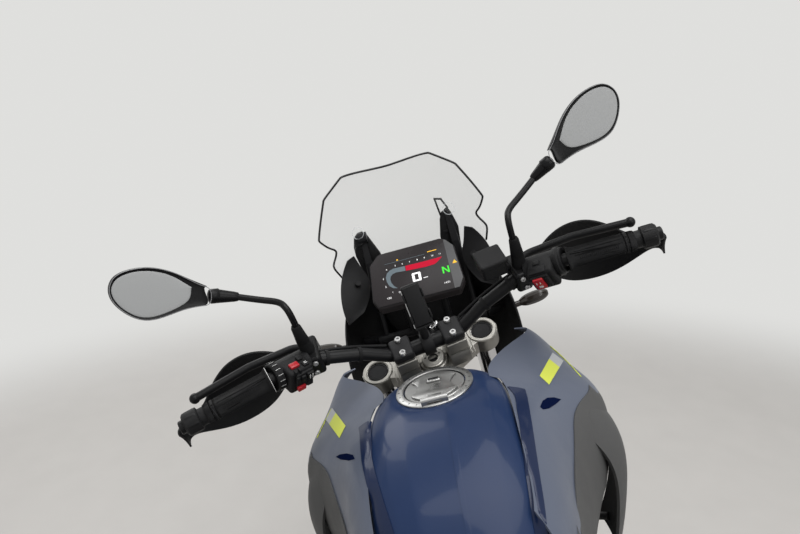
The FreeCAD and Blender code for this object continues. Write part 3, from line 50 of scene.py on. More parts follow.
RAKE = math.radians(27)
MM = Matrix.Scale(0.001, 4)
FLIP = Matrix.Scale(-1, 4, (1, 0, 0))
REAR_AXLE = Vector((0, -0.7795, 0.3209))


def shift(x, y, z):
    """A move along the three axes."""
    return Matrix.Translation((x, y, z))


def tilt(degrees, axis):
    """A turn about one axis."""
    return Matrix.Rotation(math.radians(degrees), 4, axis)


def frame_matrix(origin, x_axis, y_axis, z_axis):
    """The matrix of a frame from its origin and its axes in the world."""
    turn = Matrix((x_axis, y_axis, z_axis)).transposed().to_4x4()
    return Matrix.Translation(origin) @ turn


def bike_frame():
    """The upright machine's frame as it leans in the world."""
    across = Vector(JOINTS["rear_wheel"]["axis"]).normalized()
    stem = Vector(JOINTS["steering"]["axis"]).normalized()
    square = stem.cross(across)
    ahead = square * math.cos(RAKE) - stem * math.sin(RAKE)
    up = square * math.sin(RAKE) + stem * math.cos(RAKE)
    leaned = frame_matrix(Vector(), across, ahead, up)
    return Matrix.Translation(Vector(JOINTS["rear_wheel"]["pos_m"]) - leaned @ REAR_AXLE) @ leaned


def steering_frame(at):
    """The steering frame's axes at a joint's place."""
    across = Vector(JOINTS["front_wheel"]["axis"]).normalized()
    stem = Vector(JOINTS["steering"]["axis"]).normalized()
    return frame_matrix(Vector(JOINTS[at]["pos_m"]), across, stem.cross(across), stem)


BIKE = bike_frame()
FORK = steering_frame("steering")
FRONT_WHEEL = steering_frame("front_wheel")
REAR_WHEEL = BIKE @ Matrix.Translation(REAR_AXLE)

# The camera stands over the seat and leans with the machine, so that the view is the rider's.

bpy.context.scene.view_settings.view_transform = "Standard"

camera = bpy.data.objects.new("camera", bpy.data.cameras.new("camera"))
bpy.context.scene.collection.objects.link(camera)
bpy.context.scene.camera = camera
camera.data.sensor_width = 36
camera.data.lens = 28.377
camera_right = Vector((0.96163535, 0.01953432, -0.27363454))
camera_up = Vector((0.25711066, 0.28365447, 0.92381505))
camera_back = Vector((0.09566376, -0.95872757, 0.26774969))
camera.matrix_world = BIKE @ frame_matrix(
    Vector((0.0937419, -0.677, 1.4794179)), camera_right, camera_up, camera_back)
camera.data.clip_start = 0.02


# Stage: pale floor, pale surroundings and soft lamps.

BACKDROP = (0.74, 0.74, 0.725, 1)
FLOOR = (0.47, 0.455, 0.435)
FLOOR_RADIUS = 14
SKY_STRENGTH = 0.52


def node_tree(owner):
    owner.use_nodes = True
    return owner.node_tree.nodes, owner.node_tree.links


def put(node, **values):
    """Sets a shader node's inputs, with each space in an input's name written as an underscore."""
    for name, value in values.items():
        node.inputs[name.replace("_", " ")].default_value = value


def added(nodes, kind, settings=(), **values):
    """A new shader node with its settings and its input values."""
    node = nodes.new(f"ShaderNode{kind}")
    for name, value in settings:
        setattr(node, name, value)
    put(node, **values)
    return node


def wired(links, *wires):
    """Links shader nodes, each wire given as node, output, node and input."""
    for source, output, target, entry in wires:
        links.new(source.outputs[output], target.inputs[entry])


def tones(nodes, colour, spread):
    """A mix of a colour's darker and lighter tone."""
    return added(nodes, "Mix", [("data_type", "RGBA")], A=[max(0, c * (1 - spread)) for c in colour] + [1],
                 B=[min(1, c * (1 + spread)) for c in colour] + [1])


def pale_floor():
    """A wide floor that fades into the backdrop a few metres from the machine."""
    bpy.ops.mesh.primitive_circle_add(vertices=96, radius=FLOOR_RADIUS, fill_type="NGON",
                                      location=(0, 0, -0.0006))
    floor = bpy.context.object
    floor.name = "floor"
    material = bpy.data.materials.new("pale floor")
    nodes, links = node_tree(material)
    base = nodes["Principled BSDF"]
    put(base, Roughness=0.55)
    place = added(nodes, "TexCoord")
    length = added(nodes, "VectorMath", [("operation", "LENGTH")])
    reach = added(nodes, "MapRange", [("interpolation_type", "SMOOTHERSTEP")], From_Min=2.3, From_Max=3.9)
    mottle = added(nodes, "TexNoise", Scale=7, Detail=8)
    tone = tones(nodes, FLOOR, 0.05)
    glow = added(nodes, "Emission", Color=BACKDROP)
    mix = added(nodes, "MixShader")
    wired(links, (place, "Object", length, 0), (length, "Value", reach, "Value"),
          (place, "Object", mottle, "Vector"), (mottle, "Fac", tone, "Factor"), (tone, "Result", base,
                                                                                 "Base Color"),
          (reach, "Result", mix, "Fac"), (base, 0, mix, 1), (glow, 0, mix, 2),
          (mix, 0, nodes["Material Output"], "Surface"))
    floor.data.materials.append(material)


def surroundings():
    """Even light, and the plain backdrop wherever it is seen, mirrored or looked through to."""
    world = bpy.data.worlds.new("studio")
    bpy.context.scene.world = world
    nodes, links = node_tree(world)
    nodes.clear()
    path = added(nodes, "LightPath")
    seen, clear = (added(nodes, "Math", [("operation", "MAXIMUM")]) for _ in range(2))
    light = added(nodes, "Background", Color=(1, 1, 1, 1), Strength=SKY_STRENGTH)
    picture = added(nodes, "Background", Color=BACKDROP, Strength=1)
    mix = added(nodes, "MixShader")
    out = added(nodes, "OutputWorld")
    wired(links, (path, "Is Camera Ray", seen, 0), (path, "Is Glossy Ray", seen, 1), (seen, 0, clear, 0),
          (path, "Is Transmission Ray", clear, 1), (clear, 0, mix, "Fac"), (light, 0, mix, 1),
          (picture, 0, mix, 2),
          (mix, 0, out, "Surface"))


def soft_lamp(name, place, aim, side, power):
    """A square lamp at a place, turned to what it aims at."""
    lamp = bpy.data.objects.new(name, bpy.data.lights.new(name, "AREA"))
    bpy.context.scene.collection.objects.link(lamp)
    lamp.data.size = side
    lamp.data.energy = power
    lamp.location = place
    lamp.rotation_euler = (Vector(aim) - Vector(place)).to_track_quat("-Z", "Y").to_euler()


pale_floor()
surroundings()
soft_lamp("ceiling lamp", (0.4, -0.3, 4.2), (0, 0, 0.8), 3.0, 120)
soft_lamp("front lamp", (-2.2, 3.0, 3.4), (0, 0.2, 0.8), 2.0, 45)
soft_lamp("rear lamp", (2.6, -2.8, 3.0), (0, 0, 0.8), 2.0, 45)


# Finishes. Each one has its own grain, mottle and depth, on the object's coordinates in metres.

COAT_ROUGHNESS = 0.08
DULL = 0.14


def finish(name, colour, roughness, grain=900, depth=0.1, mottle=0.12, blotch=18, metallic=0.0,
           coat=0.0, cells=False, rough_spread=0.1, shine=0.35):
    """A painted, moulded or machined surface: fine grain in relief, mottled colour and roughness."""
    material = bpy.data.materials.new(name)
    nodes, links = node_tree(material)
    base = nodes["Principled BSDF"]
    put(base, Metallic=metallic, Coat_Weight=coat, Coat_Roughness=COAT_ROUGHNESS, Specular_IOR_Level=shine)
    place = added(nodes, "TexCoord")
    if cells:
        fine = added(nodes, "TexVoronoi", [("feature", "SMOOTH_F1")], Scale=grain)
    else:
        fine = added(nodes, "TexNoise", Scale=grain, Detail=4)
    bump = added(nodes, "Bump", Strength=depth, Distance=0.001)
    patches = added(nodes, "TexNoise", Scale=blotch, Detail=6)
    tone = tones(nodes, colour, mottle)
    polish = added(nodes, "MapRange", From_Min=0.3, From_Max=0.7, To_Min=max(0.02, roughness - rough_spread),
                   To_Max=min(1, roughness + rough_spread))
    wired(links, (place, "Object", fine, "Vector"), (fine, "Distance" if cells else "Fac", bump, "Height"),
          (bump, "Normal", base, "Normal"), (place, "Object", patches, "Vector"),
          (patches, "Fac", tone, "Factor"),
          (tone, "Result", base, "Base Color"), (patches, "Fac", polish, "Value"),
          (polish, "Result", base, "Roughness"))
    return material


def clear_plastic(name, tint, roughness, cover):
    """Clear moulded plastic: mostly see-through, with faint waviness and scuffs."""
    material = finish(name, tint, roughness, grain=60, depth=0.02, mottle=0.03, rough_spread=0.02)
    put(material.node_tree.nodes["Principled BSDF"], Alpha=cover)
    return material


def lit(name, colour, strength):
    """A lit part of the display."""
    material = finish(name, colour, 0.5, grain=700, depth=0.02, mottle=0.08, shine=0.05)
    put(material.node_tree.nodes["Principled BSDF"], Emission_Color=(*colour, 1), Emission_Strength=strength)
    return material


# Key of a finish, its colour, roughness, grain and depth, and what else sets it apart.
FINISH_TABLE = (
    ("tyre_rubber", (0.022, 0.022, 0.023), 0.78, 1400, 0.35, dict(mottle=0.25, shine=DULL)),
    ("wheel_black", (0.024, 0.024, 0.026), 0.36, 700, 0.08, dict(shine=DULL)),
    ("disc_steel", (0.50, 0.50, 0.51), 0.30, 1600, 0.12, dict(metallic=1)),
    ("clamp_champagne", (0.34, 0.33, 0.305), 0.38, 2200, 0.10, dict(mottle=0.06, metallic=0.85)),
    ("clamp_black", (0.014, 0.014, 0.015), 0.42, 1500, 0.14, dict(shine=DULL)),
    ("stanchion_chrome", (0.62, 0.62, 0.63), 0.10, 500, 0.01,
     dict(mottle=0.03, metallic=1, rough_spread=0.03)),
    ("cap_black", (0.009, 0.009, 0.010), 0.40, 1500, 0.12, dict(shine=DULL)),
    ("slider_silver", (0.42, 0.42, 0.43), 0.36, 1500, 0.12, dict(metallic=0.9)),
    ("axle_steel", (0.45, 0.45, 0.45), 0.33, 1500, 0.12, dict(metallic=1)),
    ("caliper_black", (0.028, 0.028, 0.03), 0.40, 900, 0.15, dict(shine=DULL)),
    ("black_plastic", (0.009, 0.009, 0.0095), 0.50, 1300, 0.45, dict(mottle=0.18, cells=True, shine=DULL)),
    ("dark_grey_plastic", (0.066, 0.066, 0.066), 0.58, 1300, 0.5, dict(mottle=0.1, cells=True, shine=0.2)),
    ("bar_black", (0.008, 0.008, 0.0085), 0.36, 1400, 0.10, dict(shine=DULL)),
    ("grip_rubber", (0.007, 0.007, 0.0075), 0.66, 1600, 0.3, dict(mottle=0.2, shine=DULL)),
    ("gloss_black", (0.006, 0.006, 0.0065), 0.30, 1200, 0.08, dict(shine=DULL)),
    ("mirror_glass", (0.30, 0.305, 0.305), 0.5, 40, 0.004, dict(mottle=0.02)),
    ("frame_black", (0.012, 0.012, 0.013), 0.40, 800, 0.12, dict(shine=DULL)),
    ("engine_alloy", (0.055, 0.055, 0.058), 0.52, 520, 0.35, dict(mottle=0.15, metallic=0.4)),
    ("cover_alloy", (0.10, 0.10, 0.105), 0.42, 900, 0.18, dict(metallic=0.5)),
    ("radiator_alloy", (0.02, 0.02, 0.021), 0.55, 900, 0.2, dict(shine=DULL)),
    ("exhaust_steel", (0.42, 0.39, 0.35), 0.34, 1400, 0.1, dict(mottle=0.2, blotch=9, metallic=1)),
    ("plate_alloy", (0.42, 0.42, 0.43), 0.40, 1500, 0.15, dict(metallic=0.9)),
    ("chain_steel", (0.22, 0.20, 0.17), 0.38, 1500, 0.2, dict(mottle=0.25, metallic=1)),
    ("sprocket_steel", (0.40, 0.40, 0.40), 0.36, 1500, 0.15, dict(metallic=1)),
    ("spring_white", (0.60, 0.60, 0.60), 0.34, 900, 0.08, dict()),
    ("tank_blue", (0.011, 0.024, 0.068), 0.36, 2600, 0.02,
     dict(mottle=0.05, coat=0.13, rough_spread=0.03, shine=0.12)),
    ("panel_grey_blue", (0.082, 0.095, 0.130), 0.40, 2200, 0.04, dict(mottle=0.04, coat=0.1, shine=0.2)),
    ("cap_silver", (0.36, 0.36, 0.355), 0.34, 1800, 0.12, dict(mottle=0.05, metallic=0.95)),
    ("seat_cover", (0.02, 0.02, 0.021), 0.62, 420, 0.6, dict(mottle=0.15, cells=True, shine=DULL)),
    ("lamp_red", (0.30, 0.008, 0.008), 0.16, 300, 0.05, dict()),
    ("lamp_amber", (0.022, 0.018, 0.015), 0.2, 300, 0.05, dict(coat=0.3)),
    ("display_glass", (0.024, 0.021, 0.022), 0.34, 300, 0.01, dict(shine=0.12)),
    ("stand_black", (0.025, 0.025, 0.026), 0.45, 800, 0.15, dict(shine=DULL)),
    ("switch_red", (0.33, 0.012, 0.018), 0.35, 900, 0.08, dict(mottle=0.05)),
    ("pale_mark", (0.52, 0.52, 0.51), 0.45, 900, 0.03, dict(mottle=0.03)),
    ("pale_steel", (0.42, 0.42, 0.42), 0.32, 1500, 0.08, dict(metallic=0.6)),
    ("rim_grey", (0.20, 0.20, 0.205), 0.35, 900, 0.05, dict()),
    ("strip_grey", (0.045, 0.045, 0.047), 0.35, 900, 0.03, dict()),
    ("edge_smoke", (0.012, 0.012, 0.013), 0.25, 900, 0.03, dict()),
    ("strip_blue", (0.006, 0.013, 0.042), 0.36, 2600, 0.02, dict(mottle=0.05, coat=0.2, shine=0.15)),
    ("decal_grey", (0.36, 0.37, 0.38), 0.45, 900, 0.03, dict(mottle=0.03, shine=0.2)),
    ("decal_lime", (0.52, 0.57, 0.075), 0.45, 900, 0.03, dict(mottle=0.04, shine=0.2)),
    ("leaf_blue", (0.003, 0.006, 0.026), 0.75, 900, 0.03, dict(mottle=0.04, shine=0)),
    ("seam_thread", (0.05, 0.05, 0.052), 0.6, 1800, 0.2, dict()),
    ("plate_pale", (0.55, 0.55, 0.53), 0.45, 900, 0.03, dict()),
    ("pale_lens", (0.50, 0.53, 0.55), 0.08, 200, 0.03, dict(coat=0.6)),
)
CLEAR_TABLE = (
    ("lamp_clear", (0.80, 0.83, 0.85), 0.06, 0.3),
    ("screen_clear", (0.75, 0.76, 0.75), 0.05, 0.10),
    ("clear_boss", (0.7, 0.72, 0.73), 0.08, 0.35),
)
LIT_TABLE = (
    ("display_grey", (0.10, 0.125, 0.14), 0.3), ("display_white", (0.8, 0.8, 0.8), 0.4),
    ("display_green", (0.06, 0.60, 0.05), 0.4), ("display_red", (0.38, 0.006, 0.024), 0.35),
    ("display_amber", (0.75, 0.42, 0.04), 0.4),
)
FINISHES = {key: finish(key.replace("_", " "), *values, **more) for key, *values, more in FINISH_TABLE}
FINISHES.update({key: clear_plastic(key.replace("_", " "), *values) for key, *values in CLEAR_TABLE})
FINISHES.update({key: lit(key.replace("_", " "), *values) for key, *values in LIT_TABLE})
FINISHES["riser_champagne"] = FINISHES["clamp_champagne"]
NODE_SLOTS = {part["node"]: part["material_slot"] for part in frame["record"]["subparts"]}

BLACK_NODES = ("headlight", "side_deflectors")

for node, part in NODES.items():
    part.data.materials.clear()
    part.data.materials.append(FINISHES["black_plastic" if node in BLACK_NODES else NODE_SLOTS[node]])


# Bench work: how a piece is started, shaped and put in its place.


def clear_selection():
    if bpy.context.object and bpy.context.object.mode != "OBJECT":
        bpy.ops.object.mode_set(mode="OBJECT")
    bpy.ops.object.select_all(action="DESELECT")


def pick(*pieces):
    clear_selection()
    for piece in pieces:
        piece.select_set(True)
    bpy.context.view_layer.objects.active = pieces[0]
    return pieces[0]


def edit(piece, select="SELECT"):
    pick(piece)
    bpy.ops.object.mode_set(mode="EDIT")
    bpy.ops.mesh.select_all(action=select)


def leave_edit():
    bpy.ops.object.mode_set(mode="OBJECT")


def close_up(piece):
    """Merges doubles and turns the faces of a closed shape outwards."""
    edit(piece)
    bpy.ops.mesh.remove_doubles(threshold=0.001)
    bpy.ops.mesh.normals_make_consistent(inside=False)
    leave_edit()
    return piece


def modify(piece, kind, **values):
    """Adds a modifier with its values and applies it."""
    pick(piece)
    modifier = piece.modifiers.new(kind.lower(), kind)
    for name, value in values.items():
        setattr(modifier, name, value)
    bpy.ops.object.modifier_apply(modifier=modifier.name)
    return piece


def moved(piece, matrix):
    """Moves a piece's mesh by a matrix, so that its object stays at the origin."""
    pick(piece)
    piece.matrix_world = matrix @ piece.matrix_world
    bpy.ops.object.transform_apply(location=True, rotation=True, scale=True)
    if matrix.determinant() < 0:
        close_up(piece)
    return piece


def cut(piece, tool):
    """Takes another piece's shape out of a piece."""
    return modify(piece, "BOOLEAN", operation="DIFFERENCE", object=tool, solver="EXACT")


def smoothed(piece, levels=2):
    return modify(piece, "SUBSURF", levels=levels, render_levels=levels)


def bevelled(piece, width, steps=2, angle=35):
    return modify(piece, "BEVEL", width=width, segments=steps, limit_method="ANGLE",
                  angle_limit=math.radians(angle), harden_normals=False)


def set_points(piece, points):
    """Puts a piece's vertices, in their order, at the points."""
    for vertex, point in zip(piece.data.vertices, points):
        vertex.co = point
    return piece


def block(low, high, edge=0.0, steps=3):
    """A bar of material between two corners, with its edges rounded."""
    clear_selection()
    middle = [(a + b) / 2 for a, b in zip(low, high)]
    bpy.ops.mesh.primitive_cube_add(size=1, location=middle, scale=[b - a for a, b in zip(low, high)])
    piece = bpy.context.object
    bpy.ops.object.transform_apply(location=True, rotation=True, scale=True)
    if edge:
        edit(piece)
        bpy.ops.mesh.bevel(offset=edge, segments=steps, affect="EDGES")
        leave_edit()
    return piece


def aligned(base, along):
    """The matrix that stands a piece drawn up the z axis at base, pointing along a direction."""
    turn = Vector((0, 0, 1)).rotation_difference(Vector(along))
    return Matrix.Translation(Vector(base)) @ turn.to_matrix().to_4x4()


def turned(profile, base=(0, 0, 0), along=(0, 0, 1), steps=32):
    """A round piece from its (radius, height) points, from its foot up, closed at both ends."""
    clear_selection()
    radius, height = profile[0]
    bpy.ops.mesh.primitive_circle_add(vertices=steps, radius=radius, fill_type="NGON",
                                      location=(0, 0, height))
    piece = bpy.context.object
    bpy.ops.object.transform_apply(location=True, rotation=True, scale=True)
    edit(piece)
    for next_radius, next_height in profile[1:]:
        bpy.ops.mesh.extrude_region_move(TRANSFORM_OT_translate={"value": (0, 0, next_height - height)})
        share = next_radius / radius
        bpy.ops.transform.resize(value=(share, share, 1), center_override=(0, 0, next_height))
        radius, height = next_radius, next_height
    leave_edit()
    close_up(piece)
    return moved(piece, aligned(base, along))


def spun(outline, base=(0, 0, 0), along=(0, 0, 1), steps=40):
    """A ring from the closed outline of its section, given as (radius, height) points."""
    clear_selection()
    bpy.ops.mesh.primitive_circle_add(vertices=len(outline), radius=1, fill_type="NOTHING")
    piece = bpy.context.object
    edit(set_points(piece, [(radius, 0, height) for radius, height in outline]))
    bpy.ops.mesh.spin(steps=steps, angle=math.tau, center=(0, 0, 0), axis=(0, 0, 1))
    leave_edit()
    close_up(piece)
    return moved(piece, aligned(base, along))


def flat(outline, thick, edge=0.0, steps=2):
    """A plate from an outline of (x, y) points, thick upwards from z = 0."""
    clear_selection()
    bpy.ops.mesh.primitive_circle_add(vertices=len(outline), radius=1, fill_type="NGON")
    piece = bpy.context.object
    edit(set_points(piece, [(x, y, 0) for x, y in outline]))
    bpy.ops.mesh.extrude_region_move(TRANSFORM_OT_translate={"value": (0, 0, thick)})
    leave_edit()
    close_up(piece)
    return bevelled(piece, edge, steps) if edge else piece


def panel(rows, levels=2):
    """A smooth open sheet through rows of points."""
    clear_selection()
    bpy.ops.mesh.primitive_grid_add(x_subdivisions=len(rows[0]) - 1, y_subdivisions=len(rows) - 1, size=1)
    return smoothed(set_points(bpy.context.object, [point for row in rows for point in row]), levels)


def rod(points, radius, sides=3, looped=False, radii=None):
    """A round rod or hose on one smooth line through its control points."""
    curve = bpy.data.curves.new("rod", "CURVE")
    curve.dimensions = "3D"
    line = curve.splines.new("NURBS")
    line.points.add(len(points) - 1)
    for number, point in enumerate(points):
        line.points[number].co = (*point, 1)
        line.points[number].radius = radii[number] if radii else 1
    line.use_cyclic_u = looped
    line.use_endpoint_u = not looped
    line.order_u = 3
    line.resolution_u = 6
    curve.bevel_depth = radius
    curve.bevel_resolution = sides
    curve.use_fill_caps = True
    piece = bpy.data.objects.new("rod", curve)
    bpy.context.scene.collection.objects.link(piece)
    pick(piece)
    bpy.ops.object.convert(target="MESH")
    return close_up(bpy.context.object)


def copies(piece, matrices):
    """The piece once for each matrix, each copy with its own mesh, as one object."""
    made = []
    for matrix in matrices:
        twin = bpy.data.objects.new("copy", piece.data.copy())
        bpy.context.scene.collection.objects.link(twin)
        made.append(moved(twin, matrix))
    bpy.data.objects.remove(piece)
    return together(*made)


def together(*pieces):
    """Several pieces as one object."""
    pick(*pieces)
    if len(pieces) > 1:
        bpy.ops.object.join()
    return bpy.context.object


def both_sides(piece):
    """The piece and its mirror image on the other side of the machine."""
    return modify(piece, "MIRROR", use_axis=(True, False, False), use_mirror_merge=False)


def settle(piece, name, body, slot, place=None, skin=None, angle=35):
    """Puts a finished piece in the world, names it, gives it its finish and hangs it on its body."""
    if place is not None:
        moved(piece, place @ MM)
    pick(piece)
    bpy.ops.object.shade_smooth_by_angle(angle=math.radians(angle))
    piece.name = name
    piece.data.name = name
    piece.data.materials.clear()
    piece.data.materials.append(FINISHES[skin or slot])
    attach(piece, body)
    return piece


def on_fork(piece, name, slot, skin=None, angle=35):
    """Settles a piece that is drawn in the steering frame."""
    return settle(piece, name, "steering", slot, FORK, skin, angle)


def on_frame(piece, name, slot, skin=None, angle=35):
    """Settles a piece of the frame that is drawn in the upright machine's frame."""
    return settle(piece, name, "frame", slot, BIKE, skin, angle)


def round_about(axis, count, start=0.0):
    """Matrices evenly spaced round an axis through the origin."""
    return [Matrix.Rotation(start + math.tau * number / count, 4, axis) for number in range(count)]


def bolt_head(radius, height):
    """A round bolt head with a round socket sunk into its top."""
    piece = turned([(radius, 0), (radius, height * 0.55), (radius * 0.8, height)], steps=20)
    edit(piece, "DESELECT")
    bpy.ops.mesh.select_mode(type="FACE")
    leave_edit()
    for face in piece.data.polygons:
        face.select = face.normal.z > 0.9 and abs(face.center.z - height) < height * 0.1
    bpy.ops.object.mode_set(mode="EDIT")
    bpy.ops.mesh.inset(thickness=radius * 0.36)
    bpy.ops.mesh.extrude_region_move(TRANSFORM_OT_translate={"value": (0, 0, -height * 0.45)})
    leave_edit()
    return piece


def bolts(places, radius=4.0, height=3.0):
    """Bolt heads at their places: each a point and the direction that it faces."""
    return copies(bolt_head(radius, height), [aligned(point, facing) for point, facing in places])


# Cockpit: clamps, risers and stem nut.

TOP = -8
FORK_X, FORK_Y = 104, 30
BAR_HEIGHT = 44


def clamp_rings():
    """The turned rims round the fork caps, and the cap's rim and dish."""
    rim = spun([(20.9, -0.3), (28.4, -0.3), (28.4, 1.4), (27.2, 2.6), (22.2, 2.6), (20.9, 1.6)],
               (FORK_X, FORK_Y, TOP), steps=56)
    on_fork(both_sides(rim), "clamp_rims", "clamp_champagne")
    cap = spun([(0.4, 0), (19.6, 0), (19.6, 11.2), (18.4, 12.4), (16.6, 12.4), (15.4, 11.4), (0.4, 11)],
               (FORK_X, FORK_Y, TOP - 12.6), steps=48)
    cap = on_fork(both_sides(cap), "fork_cap_tops", "cap_black")
    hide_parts("fork_caps")


def clamp_fittings():
    """Pinch slots with their bolts, and the short ribs beside the stem."""
    slots = [block((FORK_X - 0.9, 49, TOP - 29.6), (FORK_X + 0.9, 59.6, TOP + 0.25)),
             block((FORK_X - 0.9, 58, TOP - 30.2), (FORK_X + 0.9, 59.6, TOP + 0.25))]
    on_fork(both_sides(together(*slots)), "clamp_slots", "clamp_black", "cap_black")
    pinch = bolts([((FORK_X + 28.4, FORK_Y + 12, TOP - 15), (1, 0.15, 0)), ((62, 24, TOP + 0.2), (0, 0, 1))],
                  4, 3)
    on_fork(both_sides(pinch), "clamp_bolts", "axle_steel")
    ribs = copies(flat([(-0.8, -16), (0.8, -16), (0.8, 16), (-0.8, 16)], 2.2, 0.5), [shift(x, 2, TOP + 0.1)
                                                                                     for x in (76, 70)])
    on_fork(both_sides(ribs), "clamp_ribs", "clamp_champagne")


def stem_nut():
    """The dished nut on the stem, with a black hexagon in its socket and four black dots for its small holes, both
    painted shade.
    """
    nut = spun([(8.6, 5), (9.3, 15), (19.4, 16.8), (21.4, 15.8), (22, 10.2), (25, 9.4), (25.4, 8.4),
                (25.4, 0.1), (8.6, 0.1)], (0, 0, TOP), steps=56)
    on_fork(nut, "stem_nut", "clamp_champagne")
    hexagon = [(8.8 * math.cos(math.radians(a)), 8.8 * math.sin(math.radians(a))) for a in range(0, 360, 60)]
    # Painted shade: a black hexagon deep in the socket, and black dots where the nut's top has small holes.
    socket = moved(flat(hexagon, 1.4), shift(0, 0, TOP + 8))
    hole_shade_dots = copies(turned([(1.7, 0), (1.7, 0.9), (1.3, 1.2)], steps=14),
                  [tilt(a, "Z") @ shift(14.4, 0, TOP + 15.4)
                   for a in (20, 70, 110, 160)])
    on_fork(together(socket, hole_shade_dots), "stem_nut_painted_shade", "clamp_black", "cap_black")


def bar_clamps():
    """Risers with a stepped foot, a dark cap over the bar and two round bolts in each."""
    side = [(-27, TOP), (-24, 8), (-19, 16), (-18, BAR_HEIGHT - 2), (28, BAR_HEIGHT - 2), (29, 18), (36, 4),
            (38, TOP)]
    foot = bevelled(flat(side, 38), 2.4, 3, 25)
    stand_up = Matrix(((0, 0, 1, 28), (1, 0, 0, 0), (0, 1, 0, 0), (0, 0, 0, 1)))
    foot = close_up(moved(foot, stand_up))
    channel = turned([(14.2, -60), (14.2, 60)], (47, 5, BAR_HEIGHT), (1, 0, 0), 40)
    foot = cut(foot, channel)
    groove = block((20, -40, 17.2), (80, -17.2, 18.6))
    foot = cut(foot, groove)
    feet = on_fork(both_sides(foot), "riser_feet", "riser_champagne")
    cap = block((28, -18, BAR_HEIGHT + 1), (66, 28, BAR_HEIGHT + 18), 4.5, 4)
    cap = cut(cap, channel)
    caps = on_fork(both_sides(cap), "riser_caps", "clamp_black", "clamp_black")
    bpy.data.objects.remove(channel)
    bpy.data.objects.remove(groove)
    heads = bolts([((47, y, BAR_HEIGHT + 17.6), (0, 0, 1)) for y in (-11, 21)], 6.6, 5.4)
    on_fork(both_sides(heads), "riser_bolts", "axle_steel")
    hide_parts("bar_risers")
    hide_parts("bar_risers")
    bridge = flat([(-29, -2), (29, -2), (29, 24), (18, 30), (-18, 30), (-29, 24)], 11, 1.6)
    bridge = moved(bridge, shift(0, 4, TOP))
    on_fork(bridge, "riser_bridge", "riser_champagne")


clamp_rings()
clamp_fittings()
stem_nut()
bar_clamps()

# Grips, bar ends, switches and perches.

GRIP_IN = Vector((261, -28, 146))
ALONG_GRIP = Vector((150, -36, 13)).normalized()
GRIP_LENGTH = 110


def grips():
    """Moulded grips: flange, waist, lengthwise pads with fine grooves, and ribs by the bar end."""
    body = [(21, 0), (21, 3), (18.4, 6.5), (17.3, 12), (16.7, 40), (16.7, 70), (17, 88), (17.3, 90),
            (16.4, 91), (16.4, 93), (17.3, 94), (17.3, 97), (16.4, 98), (16.4, 100), (17.3, 101),
            (17.3, 106), (16.2, 109.6)]
    grip = turned(body, steps=64)
    groove_turns = {0, 4, 16, 20, 32, 36, 48, 52}
    for face in grip.data.polygons:
        turn = round(math.degrees(math.atan2(face.center.y, face.center.x)) / 5.625 - 0.5) % 64
        face.select = 13 < face.center.z < 87 and turn in groove_turns
    bpy.context.view_layer.objects.active = grip
    bpy.ops.object.mode_set(mode="EDIT")
    bpy.ops.mesh.select_mode(type="FACE")
    bpy.ops.mesh.extrude_region_shrink_fatten(TRANSFORM_OT_shrink_fatten={"value": -0.9})
    leave_edit()
    pads = copies(flat([(-0.45, -3.4), (0.45, -3.4), (0.45, 3.4), (-0.45, 3.4)], 0.7),
                  [tilt(90 * quarter + 35, "Z")
                   @ shift(16.55, 0, 20 + 3.2 * rib) @ tilt(90, "Y")
                   for quarter in range(4) for rib in range(20)])
    grip = moved(together(grip, pads), aligned(GRIP_IN, ALONG_GRIP))
    grip = on_fork(both_sides(grip), "grip_mouldings", "grip_rubber", angle=40)
    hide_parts("grips")


def bar_ends():
    """Cast bar ends with eight flats, a dished face and a screw."""
    tip = bevelled(turned([(19.4, 11.4), (20, 14), (20, 29), (17.2, 34.6), (13, 35.4)], steps=8), 1.2, 2, 20)
    cap = turned([(11, 35), (11, 41.8), (9.6, 43)], steps=24)
    ends = moved(together(tip, cap), aligned(GRIP_IN + ALONG_GRIP * GRIP_LENGTH, ALONG_GRIP))
    on_fork(both_sides(ends), "bar_end_castings", "bar_black")


POD_START, POD_END = Vector((203, 4, 121.5)), Vector((252, -22, 142))
ALONG_POD = (POD_END - POD_START).normalized()
POD = (Matrix.Translation((POD_START + POD_END) / 2)
       @ Vector((1, 0, 0)).rotation_difference(ALONG_POD).to_matrix().to_4x4())
LEFT_POD = FLIP @ POD

# Switches on a pod: low corner, high corner, name of the finish.
LEFT_SWITCHES = (
    ((-18, -41, 0), (-6, -35, 14), "black"), ((-15.4, -41.8, 3), (-13.9, -40.5, 11), "mark"),
    ((-10.4, -41.8, 3), (-8.9, -40.5, 11), "mark"), ((-3, -40.5, 2), (5, -35, 13), "black"),
    ((8, -40, 3), (14, -35, 14), "black"), ((-2, -41, -15), (13, -34, -6), "red"),
    ((-17, -39, -14), (-6, -34, -4), "black"), ((-2, -24, 20), (14, -13, 26), "red"),
    ((-17, -30, 20), (-6, -19, 25), "black"), ((-15, -14, 20), (-5, -4, 26), "black"),
    ((1, -35, 18), (6, -27, 24), "black"), ((9, -35, 18), (14, -27, 24), "black"),
    ((-14, -26.5, 24.6), (-9, -25.3, 25.7), "mark"), ((-14, -23.5, 24.6), (-9, -22.3, 25.7), "mark"),
)
RIGHT_SWITCHES = (
    ((-14, -41, -9), (3, -34, 15), "red"), ((-10, -42, 5), (-8.6, -40.6, 9), "mark"),
    ((-4, -42, 5), (-2.6, -40.6, 9), "mark"), ((-9, -42, -4), (-2, -40.6, 0), "mark"),
    ((6, -39, -12), (12, -34, 12), "black"), ((-16, -32, 19), (12, -18, 23.5), "black"),
    ((-10, -14, 20), (2, -4, 24), "black"),
)


